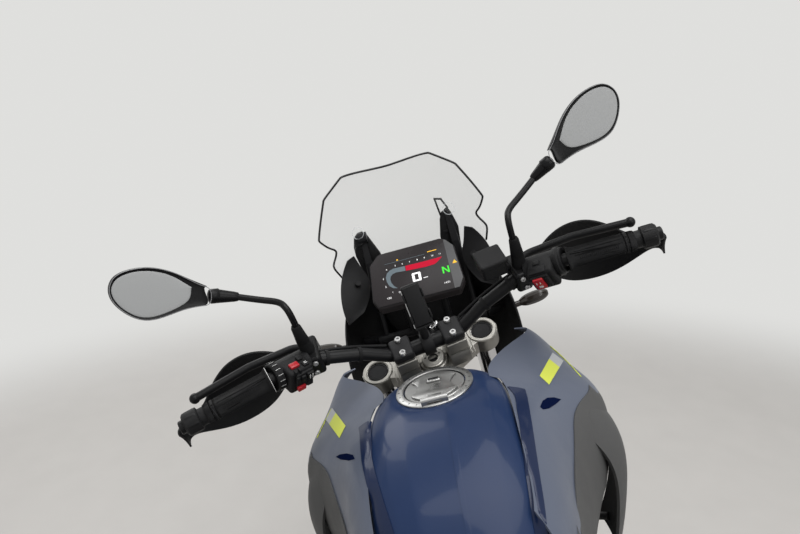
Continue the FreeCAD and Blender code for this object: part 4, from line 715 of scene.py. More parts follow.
def switches():
    """Both pods' buttons and marks, one piece for each finish."""
    finishes = dict(black="black_plastic", red="switch_red", mark="pale_mark")
    for side, place, table in (("left", LEFT_POD, LEFT_SWITCHES), ("right", POD, RIGHT_SWITCHES)):
        for kind in finishes:
            made = [block(low, high, min(1.4, 0.3 * min(b - a for a, b in zip(low, high))), 2)
                    for low, high, finish_name in table if finish_name == kind]
            piece = moved(together(*made), place)
            on_fork(piece, f"{side}_switches_{kind}", "black_plastic", finishes[kind])


def pod_rings():
    """The menu ring on the left pod, with its raised ribs, and the throttle collar on the right."""
    ring = spun([(19, -1), (22.5, -1), (24, 0.6), (24, 11.4), (22.5, 13), (19, 13)], steps=64)
    ribs = copies(block((23.4, -1.3, 1.2), (25.2, 1.3, 10.8), 0.5, 1), round_about("Z", 16))
    at_collar = aligned(POD_END - ALONG_POD * 5, ALONG_POD)
    on_fork(moved(together(ring, ribs), FLIP @ at_collar), "menu_ring", "black_plastic")
    ticks = copies(block((25, -0.35, 1.6), (25.35, 0.35, 10.4)), round_about("Z", 16))
    light = spun([(21.2, -0.8), (22, -0.8), (22, 0), (21.2, 0)], steps=56)
    light = moved(light, aligned(GRIP_IN + ALONG_GRIP * 0.4, ALONG_GRIP))
    ticks = moved(ticks, at_collar)
    on_fork(moved(together(light, ticks), FLIP), "menu_ring_marks", "black_plastic", "pale_mark")
    collar = spun([(18, -2), (23.4, -2), (24.4, -0.5), (24.4, 6), (22, 8), (22, 11), (20.6, 12), (18, 12)],
                  steps=56)
    on_fork(moved(collar, at_collar), "throttle_collar", "black_plastic")


def perches():
    """Mirror boots and the round screws on the lever perches."""
    screws = bolts([((187, -12.2, 124), (0, -1, 0.1)), ((192, -12.2, 102), (0, -1, 0.1))], 4.6, 2.6)
    on_fork(both_sides(screws), "perch_screws", "axle_steel", "pale_steel")
    boot = turned([(12.4, 0), (12.8, 5), (12, 10), (10.6, 24), (10.4, 25.5), (11, 27), (9.6, 42), (8.4, 58),
                   (6.8, 62)],
                  (193, 14, 132), (-0.02, 0.04, 1), 32)
    on_fork(both_sides(boot), "mirror_boots", "grip_rubber")


grips()
bar_ends()
switches()
pod_rings()
perches()


# Mirrors. A head is drawn about its ball joint: x along the head, y ahead of the glass, z up the glass.

NECK = Vector((291, 64, 274.5))
HEAD_OUTLINE = ((0, 14), (18, 21), (34, 31), (52, 42), (74, 51), (96, 55), (118, 53.5), (136, 48), (146, 39),
                (151, 24), (147, 7), (135, -8), (120, -20), (104, -27), (86, -27), (64, -21.5), (44, -15.5),
                (22, -13), (2, -13))
GLASS_OUTLINE = ((28, 12), (37, 24), (54, 35), (74, 44), (96, 48.5), (116, 47.5), (132, 42), (140, 35),
                 (145, 23), (141, 9), (131, -4.5), (117, -15.5), (103, -21), (87, -21), (67, -15.5),
                 (48, -8), (34, 1))
HEAD_MIDDLE = (78, 14)
MIRROR_STEM = ((193, 14, 150), (191, 18, 190), (190, 20, 216), (192, 28, 227), (200, 46, 229),
               (228, 58, 237), (264, 74, 250))
# How each head is turned for the rider: side, inwards, back and along, in degrees.
HEAD_TURNS = (("left", -1, 25.9, 26.8, 32.9), ("right", 1, 4.5, 35.8, 21.2))


def lofted(rings):
    """A closed shape through rings of points, each ring with the same number of points."""
    clear_selection()
    bpy.ops.mesh.primitive_circle_add(vertices=len(rings[0]), radius=1, fill_type="NGON")
    piece = bpy.context.object
    edit(piece)
    for _ in rings[1:]:
        bpy.ops.mesh.extrude_region_move(TRANSFORM_OT_translate={"value": (0, 0, 1)})
    leave_edit()
    return close_up(set_points(piece, [point for ring in rings for point in ring]))


def scaled_ring(outline, share, depth):
    """A mirror head's outline, drawn in towards its middle and moved in depth."""
    middle_x, middle_z = HEAD_MIDDLE
    return [(middle_x + (x - middle_x) * share, depth, middle_z + (z - middle_z) * share)
            for x, z in outline]


def head_place(inwards, back, along):
    """The matrix of a mirror head that is turned for the rider."""
    turns = ((inwards, "Z"), (back, "X"), (along, "Y"))
    place = Matrix.Translation(NECK)
    for degrees, axis in turns:
        place = place @ tilt(-degrees, axis)
    return place


def mirror(name, side, inwards, back, along):
    """One mirror: shell, rim line, glass, ball and cone, stem."""
    place = head_place(inwards, back, along)
    if side < 0:
        place = FLIP @ place
    shares = ((0.93, 2.6), (0.955, 0.2), (0.985, -0.4), (1.0, 0.8), (1.015, 7), (0.985, 14), (0.92, 20),
              (0.8, 26), (0.66, 29.6), (0.4, 31))
    shell = smoothed(lofted([scaled_ring(HEAD_OUTLINE, share, depth) for share, depth in shares]), 2)
    ball = turned([(9, -6), (12, -3), (12, 9), (10.5, 12), (6, 14)], (-8, 13, 0), (1, 0, 0))
    shell = moved(together(shell, ball), place)
    stem_tip = Vector(MIRROR_STEM[-1])
    ball_end = head_place(inwards, back, along) @ Vector((-4, 13, 0))
    toward = (ball_end - stem_tip).normalized()
    reach = (ball_end - stem_tip).length
    cone = turned([(6.6, -5), (7.4, -3), (8.4, 2), (11.6, reach - 3), (12.2, reach)], tuple(stem_tip),
                  toward)
    stem = together(rod(MIRROR_STEM, 5.5, 4), cone)
    if side < 0:
        stem = moved(stem, FLIP)
    shell = on_fork(together(shell, stem), f"{name}_mirror", "gloss_black", angle=50)
    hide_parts("mirrors")
    glass = smoothed(lofted([scaled_ring(GLASS_OUTLINE, share, depth)
                             for share, depth in ((1.035, 2.4), (1.035, 0.6), (1.02, 0.1), (0.5, -0.2))]), 2)
    glass = on_fork(moved(glass, place), f"{name}_mirror_glass", "mirror_glass", angle=50)
    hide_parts("mirror_glasses")
    edge = scaled_ring(HEAD_OUTLINE, 0.978, -0.5)
    line = moved(rod(edge, 0.55, 2, looped=True), place)
    on_fork(line, f"{name}_mirror_rim_line", "gloss_black", "rim_grey")


for turns in HEAD_TURNS:
    mirror(*turns)


# Display, device cradle and screen.

DISPLAY_PLACE = frame_matrix(Vector((0, 508, 1131)), Vector((1, 0, 0)), Vector((0, 0.787, 0.617)),
                             Vector((0, -0.617, 0.787)))
REV_GREY = ((-46.5, -25.5), (-53.4, -18.5), (-57, -8), (-57.6, 3), (-54.4, 12), (-48, 17.6), (-40, 20),
            (-16.3, 19.1), (-16.7, 7.4), (-36, 9.3), (-43, 7.6), (-47.6, 3), (-49.5, -3.5), (-48.4, -12.5),
            (-44.5, -21), (-38.3, -28))
REV_RED = ((-15.3, 19), (26, 17.9), (60, 18.4), (54, 13), (47.8, 8.2), (42, 5), (23.6, 4.2), (-15.7, 7.2))
TICKS = ((-36, -38.5), (-48.9, -34.9), (-60.6, -18.3), (-63, 1.2), (-53.6, 21.2), (-34.9, 25.5),
         (-20.3, 25.8), (-5.2, 25.9), (10.3, 26.3), (25, 26), (41, 26.3), (56.5, 26.4))
STRIP = ((69.5, 59), (74, 56.5), (85.6, 39), (89.4, -41), (79.6, -60.6), (69.5, -61))
FACE_OUTLINE = ((-62, 63), (62, 63), (68, 60), (85.6, 39.5), (89.4, -41), (79.6, -60.6), (-79.6, -60.6),
                (-89.4, -41), (-85.6, 39.5), (-68, 60))

WHITE_BARS = ((-5, -6.6, 10.4, -3), (-5, -23.6, 10.4, -20), (-6.2, -22.4, -1.2, -4.2),
              (6.4, -22.4, 11.4, -4.2),
              (15, -20.6, 24, -19.2))
GEAR_OUTLINE = ((54, -22), (57, -22), (57, -11), (64.8, -22), (68, -22), (68, -6.4), (65, -6.4), (65, -17.4),
                (57.2, -6.4), (54, -6.4))
WARNING = ((76.6, -4.4), (86, -4.4), (81.3, 3.6))
ARROW = ((-31, 37), (-27, 37), (-29, 41))


def figures(text, height, at):
    """Figures on the display, their middle at a point."""
    clear_selection()
    bpy.ops.object.text_add()
    piece = bpy.context.object
    piece.data.body = text
    piece.data.size = height
    piece.data.align_x = "CENTER"
    piece.data.align_y = "CENTER"
    piece.data.extrude = 0.12
    bpy.ops.object.convert(target="MESH")
    return moved(bpy.context.object, shift(*at, 1.5))


def bars(table, thick=0.3, lift=1.3):
    """Thin flat bars on the display, each from its low to its high corner."""
    return together(*[block((x0, y0, lift), (x1, y1, lift + thick)) for x0, y0, x1, y1 in table])


def raised(outline, thick=0.3, lift=1.3, edge=0.0):
    """A thin flat shape on the display."""
    return moved(flat(outline, thick, edge), shift(0, 0, lift))


def display():
    """The display: rim, face, side strip and the lit graphics, each colour one piece."""
    place = BIKE @ MM @ DISPLAY_PLACE
    rim = flat([(x * 1.012, y * 1.012) for x, y in FACE_OUTLINE], 0.9, 0.4)
    shown = [(rim, "rim", "black_plastic", "black_plastic"),
             (raised(FACE_OUTLINE, 0.5, 0.8, 0.3), "face", "display_glass", "display_glass"),
             (raised(STRIP, 0.25, 1.25), "side_strip", "display_glass", "strip_grey"),
             (together(raised(REV_GREY), bars([(-56, 34.6, 27, 35.3)])), "low_revs", "display_glass",
              "display_grey"),
             (together(bars(WHITE_BARS), *[figures(str(number), 5.2, at) for number, at in enumerate(TICKS)],
                       figures("14:01", 6, (58, -44)), figures("+20", 6, (-58, -46))),
              "figures", "display_glass", "display_white"),
             (raised(GEAR_OUTLINE), "gear", "display_glass", "display_green"),
             (raised(REV_RED), "high_revs", "display_glass", "display_red"),
             (together(raised(WARNING, 0.3, 1.5), raised(ARROW), bars([(33, 37.6, 52, 39.2)])), "warnings",
              "display_glass", "display_amber")]
    for piece, name, slot, skin in shown:
        settle(moved(piece, place), f"display_{name}", "frame", slot, skin=skin)


def cradle():
    """The device cradle: body, flat face, side clips, lip, arm and the ring round the bar."""
    place = shift(2, -36, 189) @ tilt(-35.7, "X")
    body = block((-15, -6, -36), (15, 7, 34), 3.2, 3)
    face = block((-13, -8.4, -33), (13, -5.4, 32), 0.9, 2)
    clips = [block((side * 15.5 - 1.4, -9, z - 7), (side * 15.5 + 1.4, 5, z + 7), 1, 2)
             for side in (-1, 1) for z in (-20, 16)]
    lip = block((-15.5, -9.6, -37.4), (15.5, 4, -34.8), 1, 2)
    edge = block((-16.6, -7.4, -34), (-15.2, -5.4, 30), 0.5, 1)
    upper = moved(together(body, face, *clips, lip), place)
    arm = rod(((0, 5, 56), (0, 4, 92), (0, 0, 122), (1, -22, 160), (2, -32, 186)), 7.4, 4)
    ring = spun([(14.2, -10), (20.4, -10), (20.8, -9), (20.8, 9), (20.4, 10), (14.2, 10)], (0, 5, 44),
                (1, 0, 0), 40)
    ears = block((-8, 16, 36), (8, 34, 52), 2.4, 2)
    lever = rod(((14, 30, 50), (24, 32, 58), (30, 24, 68), (24, 16, 66), (16, 22, 56)), 2.2, 3, looped=True)
    whole = on_fork(together(upper, arm, ring, ears), "cradle_body", "black_plastic")
    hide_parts("device_cradle")
    on_fork(lever, "cradle_lever", "black_plastic", "stanchion_chrome")
    on_fork(moved(edge, place), "cradle_edge", "black_plastic", "pale_steel")


SCREEN_HALF = ((0, 1341), (25, 1342.6), (50, 1345), (70, 1346.8), (86, 1347), (90, 1344.5), (110, 1330),
               (130, 1315.5), (132.4, 1311), (150, 1276), (165.6, 1241), (166, 1236), (157, 1214),
               (147, 1203), (145.4, 1199), (149, 1193), (159.6, 1177), (161.8, 1171), (161.6, 1161),
               (155.4, 1138))


def bike_axis(vector):
    """A direction of the upright machine, as it points in the world."""
    return (BIKE.to_3x3() @ Vector(vector)).normalized()


def on_screen(x, z):
    """The place on the screen straight ahead of a point across and up, in the upright machine's frame."""
    found, place, _, _ = NODES["windscreen"].ray_cast(BIKE @ (Vector((x, 400, z)) * 0.001),
                                                      bike_axis((0, 1, 0)))
    return place if found else None


def screen_edge():
    """The polished edge of the screen, and the grommets that hold it."""
    half = [on_screen(x * 0.996, z - 0.8) for x, z in SCREEN_HALF]
    other = [on_screen(-x * 0.996, z - 0.8) for x, z in SCREEN_HALF[1:]]
    line = [point for point in half[::-1] + other if point]
    out = bike_axis((0, 1, 0)) * 0.002
    edge = rod([point + out for point in line], 0.0021, 2)
    settle(edge, "screen_edge", "frame", "screen_clear", skin="edge_smoke")
    rings = []
    for side in (-1, 1):
        point = on_screen(side * 97, 1218)
        rings.append(moved(spun([(0.0112, 0), (0.0128, 0), (0.0128, 0.0018), (0.0112, 0.0018)], steps=40),
                           aligned(point - out * 0.4, bike_axis((0, -1, 0.25)))))
    settle(together(*rings), "screen_grommets", "frame", "screen_clear", skin="clear_boss")


def bar_between(start, end, wide, low, high):
    """A flat bar between two points (x, z), from one depth to another."""
    (x0, z0), (x1, z1) = start, end
    length = math.hypot(x1 - x0, z1 - z0)
    piece = block((-wide / 2, low, -wide / 2), (length + wide / 2, high, wide / 2), 0.5, 1)
    return moved(piece, shift(x0, 0, z0) @ Matrix.Rotation(-math.atan2(z1 - z0, x1 - x0), 4, "Y"))


LEFT_ARM = ((-101, 1216), (-90, 1217), (-82, 1207), (-66, 1164), (-58, 1110), (-62, 1092), (-92, 1092),
            (-109, 1112), (-117, 1169), (-116, 1188), (-110, 1208))
RIGHT_ARM = ((73, 1198), (79, 1212), (95, 1218), (100, 1206), (107, 1175), (101, 1118), (95, 1096),
             (64, 1096), (65, 1163), (69, 1180))
LEVER_CORNERS = ((73.6, 1243), (86, 1239.4), (94.6, 1219), (77, 1208))


def screen_arms():
    """The two blades that carry the screen, with the left one's knob and the right one's lever frame."""
    upright_place = Matrix(((1, 0, 0, 0), (0, 0, -1, 612), (0, 1, 0, 0), (0, 0, 0, 1)))
    blades = [moved(flat(outline, 12, 2.6, 3), upright_place) for outline in (LEFT_ARM, RIGHT_ARM)]
    ribs = [bar_between((-104, 1160), (-84, 1118), 5, 597, 602),
            bar_between((-103, 1186), (-85, 1186), 5, 597, 602),
            bar_between((88, 1196), (90, 1130), 5, 597, 602),
            bar_between((76, 1172), (98, 1172), 5, 597, 602)]
    knob = turned([(10.5, 0), (11.5, 1), (11.5, 7), (9.5, 9), (4, 9.6)], (-99, 601, 1200), (0, -1, 0.2), 36)
    corners = LEVER_CORNERS + LEVER_CORNERS[:1]
    lever = [bar_between(start, end, 3.6, 602, 607) for start, end in zip(corners, corners[1:])]
    on_frame(together(*blades, *ribs, knob, *lever), "screen_arms", "black_plastic")


display()
cradle()
screen_edge()
screen_arms()


# Bodywork seen from the seat: tank, cap, panels and their trim.

CAP = (0, 246, 1015)
BIKE_INVERSE = BIKE.inverted()
HINGE = (0, 191, 1021)
# Station y, then x and z pairs from the top's middle round to the bottom's middle.
TANK_STATIONS = (
    (308, (0, 1005.5), (34, 1004.5), (60, 1000), (82, 984), (86, 930), (70, 892), (0, 888)),
    (282, (0, 1011.5), (46, 1010.5), (78, 1006), (106, 993), (112, 940), (98, 866), (0, 850)),
    (200, (0, 1023), (50, 1021.5), (84, 1015), (113, 1001), (122, 950), (112, 830), (0, 806)),
    (100, (0, 1015), (48, 1013.5), (80, 1007), (112, 994), (124, 930), (116, 806), (0, 796)),
    (0, (0, 977.5), (44, 976), (74, 969), (106, 955), (120, 900), (112, 792), (0, 788)),
    (-88, (0, 901), (36, 900), (60, 894), (90, 880), (104, 846), (98, 786), (0, 782)),
)


MOUTH_RADIUS, DISH_RADIUS, DISH_EDGE = 50, 66, 82
DISH_DEPTH = 3
TOP_SIDE = 940
CORNER_SHARES = (0.06, 0.08, 0.2, 0.2, 0.14)


def softened(corners, shares):
    """A half section with each corner but the first and last split in two, so that it rounds off."""
    points = [corners[0]]
    for before, corner, after, share in zip(corners, corners[1:], corners[2:], shares):
        for other in (before, after):
            points.append(tuple(c + (o - c) * share for c, o in zip(corner, other)))
    return points + [corners[-1]]


def whole_ring(half, y):
    """A closed section at a station, from its right half."""
    right = [(x, y, z) for x, z in half]
    return right + [(-x, y, z) for x, z in half[-2:0:-1]]


def tank():
    """The tank's shell, with a shallow dish and a hole for the cap's rim, and the filler neck."""
    halves = [(y, softened(corners, CORNER_SHARES)) for y, *corners in TANK_STATIONS]
    first, last = halves[0], halves[-1]
    rings = [whole_ring(first[1], first[0]), whole_ring(first[1], first[0] - 4)]
    rings += [whole_ring(half, y) for y, half in halves[1:-1]]
    rings += [whole_ring(last[1], last[0] + 4), whole_ring(last[1], last[0])]
    shell = smoothed(lofted(rings), 3)
    edit(shell, "DESELECT")
    leave_edit()
    floor = CAP[2] - DISH_DEPTH
    for vertex in shell.data.vertices:
        reach = math.hypot(vertex.co.x - CAP[0], vertex.co.y - CAP[1])
        if vertex.co.z > TOP_SIDE and reach < DISH_EDGE:
            rise = min(1, max(0, (reach - DISH_RADIUS) / (DISH_EDGE - DISH_RADIUS)))
            vertex.co.z = min(vertex.co.z, floor + max(0, vertex.co.z - floor) * rise)
            vertex.select = reach < MOUTH_RADIUS
    bpy.ops.object.mode_set(mode="EDIT")
    bpy.ops.mesh.delete(type="VERT")
    leave_edit()
    shell = on_frame(shell, "tank_shell", "tank_blue", angle=28)
    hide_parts("tank")
    neck = spun([(28, -90), (31, -90), (31, -23), (58, -23), (58, -10), (56, -10), (56, -20), (28, -20)],
                CAP,
                steps=72)
    on_frame(neck, "tank_neck", "cap_silver")
    return shell


def cap_outline():
    """The raised middle of the fuel cap: a disc with a crescent taken out of each side."""
    radius, bite_x, bite = 44.5, 61, 33
    cross_x = (radius ** 2 + bite_x ** 2 - bite ** 2) / (2 * bite_x)
    meet = math.acos(cross_x / radius)
    bite_turn = math.atan2(radius * math.sin(meet), bite_x - cross_x)
    points = []
    for side in (1, -1):
        for step in range(17):
            turn = meet + (math.pi - 2 * meet) * step / 16
            points.append((side * radius * math.cos(turn), side * radius * math.sin(turn)))
        for step in range(1, 12):
            turn = bite_turn - 2 * bite_turn * step / 12
            points.append((side * (bite * math.cos(turn) - bite_x), side * bite * math.sin(turn)))
    return points


def fuel_cap():
    """The rim with black blocks as painted shade of its notches, and the lid with its raised middle, hinge and
    keyhole.
    """
    ring = spun([(52, -14.6), (52, -1), (53.4, 0.9), (61.8, 0.9), (64, -0.6), (64, -14.6)], CAP, steps=72)
    # Painted shade: small black blocks stand for the notches round the rim's top.
    notch_shade_blocks = copies(block((57.2, -0.5, 0.7), (60.4, 0.5, 1.25)),
                     [Matrix.Translation(CAP) @ turn for turn in round_about("Z", 24)])
    on_frame(ring, "fuel_cap_rim", "cap_silver")
    on_frame(notch_shade_blocks, "fuel_cap_rim_notch_shade", "cap_silver", "clamp_black")
    disc = turned([(46, -12), (46, -6.4), (50, -6), (50, -1.8), (48.8, -0.8)], CAP, steps=72)
    raised = moved(flat(cap_outline(), 3.2, 0.9, 3), shift(CAP[0], CAP[1], CAP[2] - 0.9))
    barrel = turned([(4.2, -21), (5, -20), (5, 20), (4.2, 21)], HINGE, (1, 0, 0), 24)
    arm = block((-11, HINGE[1] - 2, CAP[2] + 1), (11, HINGE[1] + 17, CAP[2] + 6.4), 1.6)
    cover = block((-12, CAP[1] + 8, CAP[2] + 2), (12, CAP[1] + 21, CAP[2] + 5.4), 2.6)
    lid = settle(together(disc, raised, barrel, arm, cover), "fuel_cap_lid", "fuel_lid", "cap_silver", BIKE)
    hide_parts("fuel_lid")
    mouth = block((-9, CAP[1] + 10.6, CAP[2] + 4), (9, CAP[1] + 18.6, CAP[2] + 5.8), 0.8, 1)
    settle(mouth, "fuel_cap_keyhole", "fuel_lid", "cap_silver", BIKE, "clamp_black")


FOCAL = 630.6
# A panel's field as the camera sees it: its front inner, front outer, rear outer and rear inner corner.
DECAL_CORNERS = (("right", (552.5, 352.7), (563.4, 361), (549.1, 384.8), (539.6, 376)),
                 ("left", (332.4, 408), (325.7, 419.2), (339.6, 438.2), (345.8, 426)))
DECAL_CUT = 0.27
LEAF_OUTLINES = (("right", [(540, 407), (542.5, 401), (547, 398), (554, 397.5), (561, 399.5), (556, 404),
                            (549, 408.5), (543, 409.5)]),
                 ("left", [(336, 457), (340, 454.5), (347, 453.5), (353, 455), (355, 459), (349, 460.5),
                           (341, 459.5)]))


def seen_point(x, y, node):
    """The place and facing of a piece where the camera's picture has the point (x, y)."""
    aim = camera_right * (x - 400) + camera_up * (267 - y) - camera_back * FOCAL
    aim = (BIKE.to_3x3() @ aim).normalized()
    found, place, normal, _ = NODES[node].ray_cast(camera.location, aim)
    return (place, normal) if found else None


def film(name, outline, skin, lift=0.0006, rings=5, per_edge=6):
    """A thin film on a side panel, inside an outline that is given in the camera's picture."""
    middle = [sum(point[axis] for point in outline) / len(outline) for axis in (0, 1)]
    around = [between(start, end, step / per_edge) for start, end in zip(outline, outline[1:] + outline[:1])
              for step in range(per_edge)]
    clear_selection()
    bpy.ops.mesh.primitive_circle_add(vertices=len(around), radius=1, fill_type="TRIFAN")
    piece = bpy.context.object
    hub = min(piece.data.vertices, key=lambda vertex: vertex.co.length).index
    edge_points = iter(around)
    for vertex in piece.data.vertices:
        vertex.co = (*(middle if vertex.index == hub else next(edge_points)), 0)
    edit(piece)
    bpy.ops.mesh.subdivide(number_cuts=rings)
    leave_edit()
    last = None
    for vertex in piece.data.vertices:
        last = seen_point(vertex.co.x, vertex.co.y, "tank_panels") or last
        if last:
            vertex.co = last[0] + last[1] * lift
    modify(piece, "SOLIDIFY", thickness=0.0003, offset=1)
    settle(piece, name, "frame", "panel_grey_blue", skin=skin)


def between(a, b, share):
    """The point at a share of the way from one point to another."""
    return tuple(p + (q - p) * share for p, q in zip(a, b))


def decals():
    """The grey and lime field on each side panel, and the dark leaf behind it."""
    for side, front_in, front_out, rear_out, rear_in in DECAL_CORNERS:
        cut_in, cut_out = between(front_in, rear_in, DECAL_CUT), between(front_out, rear_out, DECAL_CUT)
        film(f"{side}_decal_grey", [front_in, front_out, cut_out, cut_in], "decal_grey")
        film(f"{side}_decal_lime", [cut_in, cut_out, rear_out, rear_in], "decal_lime")
    for side, outline in LEAF_OUTLINES:
        film(f"{side}_leaf", outline, "leaf_blue")


# The blue strip between tank and panel: along, inner edge and outer edge on the right, then on the left.
STRIP_STATIONS = ((214, 112, 138, 108, 132), (186, 119, 137, 107, 127), (143, 116, 133, 103, 122),
                  (105, 113, 129, 101, 117), (42, 104, 121, 88, 105), (-6, 98, 115, 77, 96),
                  (-36, 94, 110, 72, 90),
                  (-66, 88, 103, 70, 86))
# Where a panel's dark cover starts, from front to rear: along, across, height, and the cover's foot.
COVER_STATIONS = ((362, 250, 872, 806), (342, 252, 898, 790), (320, 250, 912, 780), (300, 247, 920, 774),
                  (276, 241, 921, 768), (240, 220, 929, 762), (203, 201, 931, 760), (170, 190, 922, 760),
                  (132, 178, 908, 762), (70, 161, 892, 764), (28, 153, 876, 766), (-20, 146, 850, 766),
                  (-60, 138, 822, 762))


def surface_height(x, y, nodes):
    """The highest place on some pieces above a point (x, y) of the upright machine."""
    start = BIKE @ (Vector((x, y, 1200)) * 0.001)
    best = None
    for piece in nodes:
        found, place, _, _ = piece.ray_cast(start, bike_axis((0, 0, -1)))
        if found:
            height = (BIKE_INVERSE @ place).z * 1000
            best = height if best is None else max(best, height)
    return best


def on_panel(point, lift):
    """The nearest place on the side panels to a point of the upright machine, lifted clear."""
    _, place, normal, _ = NODES["tank_panels"].closest_point_on_mesh(BIKE @ (Vector(point) * 0.001))
    outward = bike_axis((point[0], 0, 120))
    return place + (normal if normal.dot(outward) > 0 else -normal) * lift


def smooth_line(points, count):
    """Evenly spaced points of a smooth line through a few."""
    made = []
    spans = len(points) - 1
    for number in range(count):
        along = number / (count - 1) * spans
        span = min(int(along), spans - 1)
        t = along - span
        p0, p1, p2, p3 = (Vector(points[min(max(span + k, 0), spans)]) for k in (-1, 0, 1, 2))
        made.append(0.5 * ((2 * p1) + (p2 - p0) * t + (2 * p0 - 5 * p1 + 4 * p2 - p3) * t ** 2
                           + (3 * p1 - p0 - 3 * p2 + p3) * t ** 3))
    return made


ACROSS_STRIP = (0, 0.25, 0.5, 0.75, 1)


def tank_strips(shell):
    """The dark blue strip along each panel's inner edge, which closes the joint with the tank."""
    bpy.context.view_layer.update()
    for side, sign, inner, outer in (("left", -1, 3, 4), ("right", 1, 1, 2)):
        edges = smooth_line([(row[0], row[inner], row[outer]) for row in STRIP_STATIONS], 36)
        rows = []
        for y, x0, x1 in edges:
            across = [x0 + (x1 - x0) * share for share in ACROSS_STRIP]
            heights = [surface_height(sign * x, y, (shell, NODES["tank_panels"])) for x in across]
            known = [height for height in heights if height is not None]
            if not known:
                continue
            heights = [max(known) if height is None else height for height in heights]
            first, last = heights[0] + 1.0, heights[-1] + 1.0
            line = [max(first + (last - first) * share, height + 1.0)
                    for share, height in zip(ACROSS_STRIP, heights)]
            rows.append([(sign * x, y, z) for x, z in zip(across, line)])
        sheet = modify(panel(rows, 1), "SOLIDIFY", thickness=1.4, offset=0)
        on_frame(close_up(sheet), f"{side}_tank_strip", "tank_blue", "strip_blue")


# The line of the dark liner under the joint of tank and side panel: along and height.
LINER_LINE = ((292, 925), (200, 932), (100, 914), (0, 884), (-60, 850))


def tank_liners():
    """The dark liner that closes the joint of tank and side panel from below."""
    for side, sign in (("left", -1), ("right", 1)):
        rows = [[(sign * x, y, z) for x in (98, 116, 134, 150)] for y, z in LINER_LINE]
        sheet = modify(panel(rows, 1), "SOLIDIFY", thickness=1.5, offset=0)
        on_frame(close_up(sheet), f"{side}_tank_liner", "dark_grey_plastic")


COVER_BULGE = 75


def side_covers():
    """The dark grained cover over the outer and lower part of each side panel."""
    for side, sign in (("left", -1), ("right", 1)):
        rows = []
        for y, x, top, foot in smooth_line4(COVER_STATIONS, 30):
            rows.append([on_panel((sign * (x + COVER_BULGE * math.sin(step / 7 * 2.1)), y,
                                   top + (foot - top) * step / 7), 0.0012) for step in range(8)])
        cover = modify(panel(rows, 1), "SOLIDIFY", thickness=0.0018, offset=0)
        settle(close_up(cover), f"{side}_side_cover", "frame", "dark_grey_plastic", angle=45)


def smooth_line4(rows, count):
    """Evenly spaced rows of four numbers on smooth lines through a few."""
    firsts = smooth_line([row[:3] for row in rows], count)
    lasts = smooth_line([(row[3], 0, 0) for row in rows], count)
    return [(*first, last[0]) for first, last in zip(firsts, lasts)]


def lime_lines():
    """The thin lime line along each panel's upper outer edge, beside the decal."""
    for side, line in (("right", ((210, 397, 959), (219, 392, 948), (227, 374, 940), (234, 338, 936),
                                  (240, 313, 930))),
                       ("left", ((-206, 363, 960), (-217, 351, 951), (-226, 333, 943), (-235, 315, 935)))):
        points = [on_panel(point, 0.0006) for point in line]
        settle(rod(points, 0.0011, 2), f"{side}_lime_line", "frame", "panel_grey_blue", skin="decal_lime")


tank_shell = tank()
fuel_cap()
decals()
tank_strips(tank_shell)
tank_liners()
side_covers()
lime_lines()


# Seat: two leather pads on the rear frame.

# Station y, half width, top height, under height.
RIDER_ROWS = ((-84, 64, 848, 790), (-96, 72, 846, 782), (-150, 98, 818, 768), (-200, 114, 816, 768),
              (-250, 126, 820, 770), (-300, 133, 832, 778), (-322, 130, 838, 784), (-332, 120, 836, 790))
PASSENGER_ROWS = ((-338, 112, 852, 800), (-350, 120, 864, 796), (-400, 122, 872, 800), (-480, 118, 878, 808),
                  (-560, 106, 882, 818), (-606, 96, 883, 826), (-620, 86, 878, 832))


def pad_shape(rows):
    """A seat pad through its stations, before it is filled."""
    rings = []
    for y, w, top, low in rows:
        half = ((0, top), (0.4 * w, top), (0.74 * w, top - 3), (0.96 * w, top - 15), (0.97 * w, top - 32),
                (0.82 * w, low + 3), (0.4 * w, low), (0, low))
        rings.append(whole_ring(half, y))
    return smoothed(lofted(rings), 2)


def inflated(piece, pressure, cap):
    """Swells a pad like stuffed leather, each point by no more than the cap, in metres."""
    modify(piece, "REMESH", mode="VOXEL", voxel_size=0.005)
    start = [vertex.co.copy() for vertex in piece.data.vertices]
    pick(piece)
    cloth = piece.modifiers.new("cloth", "CLOTH")
    cloth.settings.use_pressure = True
    cloth.settings.uniform_pressure_force = pressure
    cloth.settings.effector_weights.gravity = 0
    for number in range(1, 21):
        bpy.context.scene.frame_set(number)
    bpy.ops.object.modifier_apply(modifier=cloth.name)
    for vertex, place in zip(piece.data.vertices, start):
        shift = vertex.co - place
        if shift.length > cap:
            vertex.co = place + shift * (cap / shift.length)
    bpy.context.scene.frame_set(1)
    return smoothed(piece, 1)


def seam(pad, points, radius=0.0016, lift=0.0004, looped=False):
    """A rolled seam that follows a pad's face, from points of the drawing in millimetres."""
    line = []
    for point in points:
        _, place, normal, _ = pad.closest_point_on_mesh(Vector(point) * 0.001)
        line.append(place + normal * lift)
    return rod(line, radius, 2, looped)


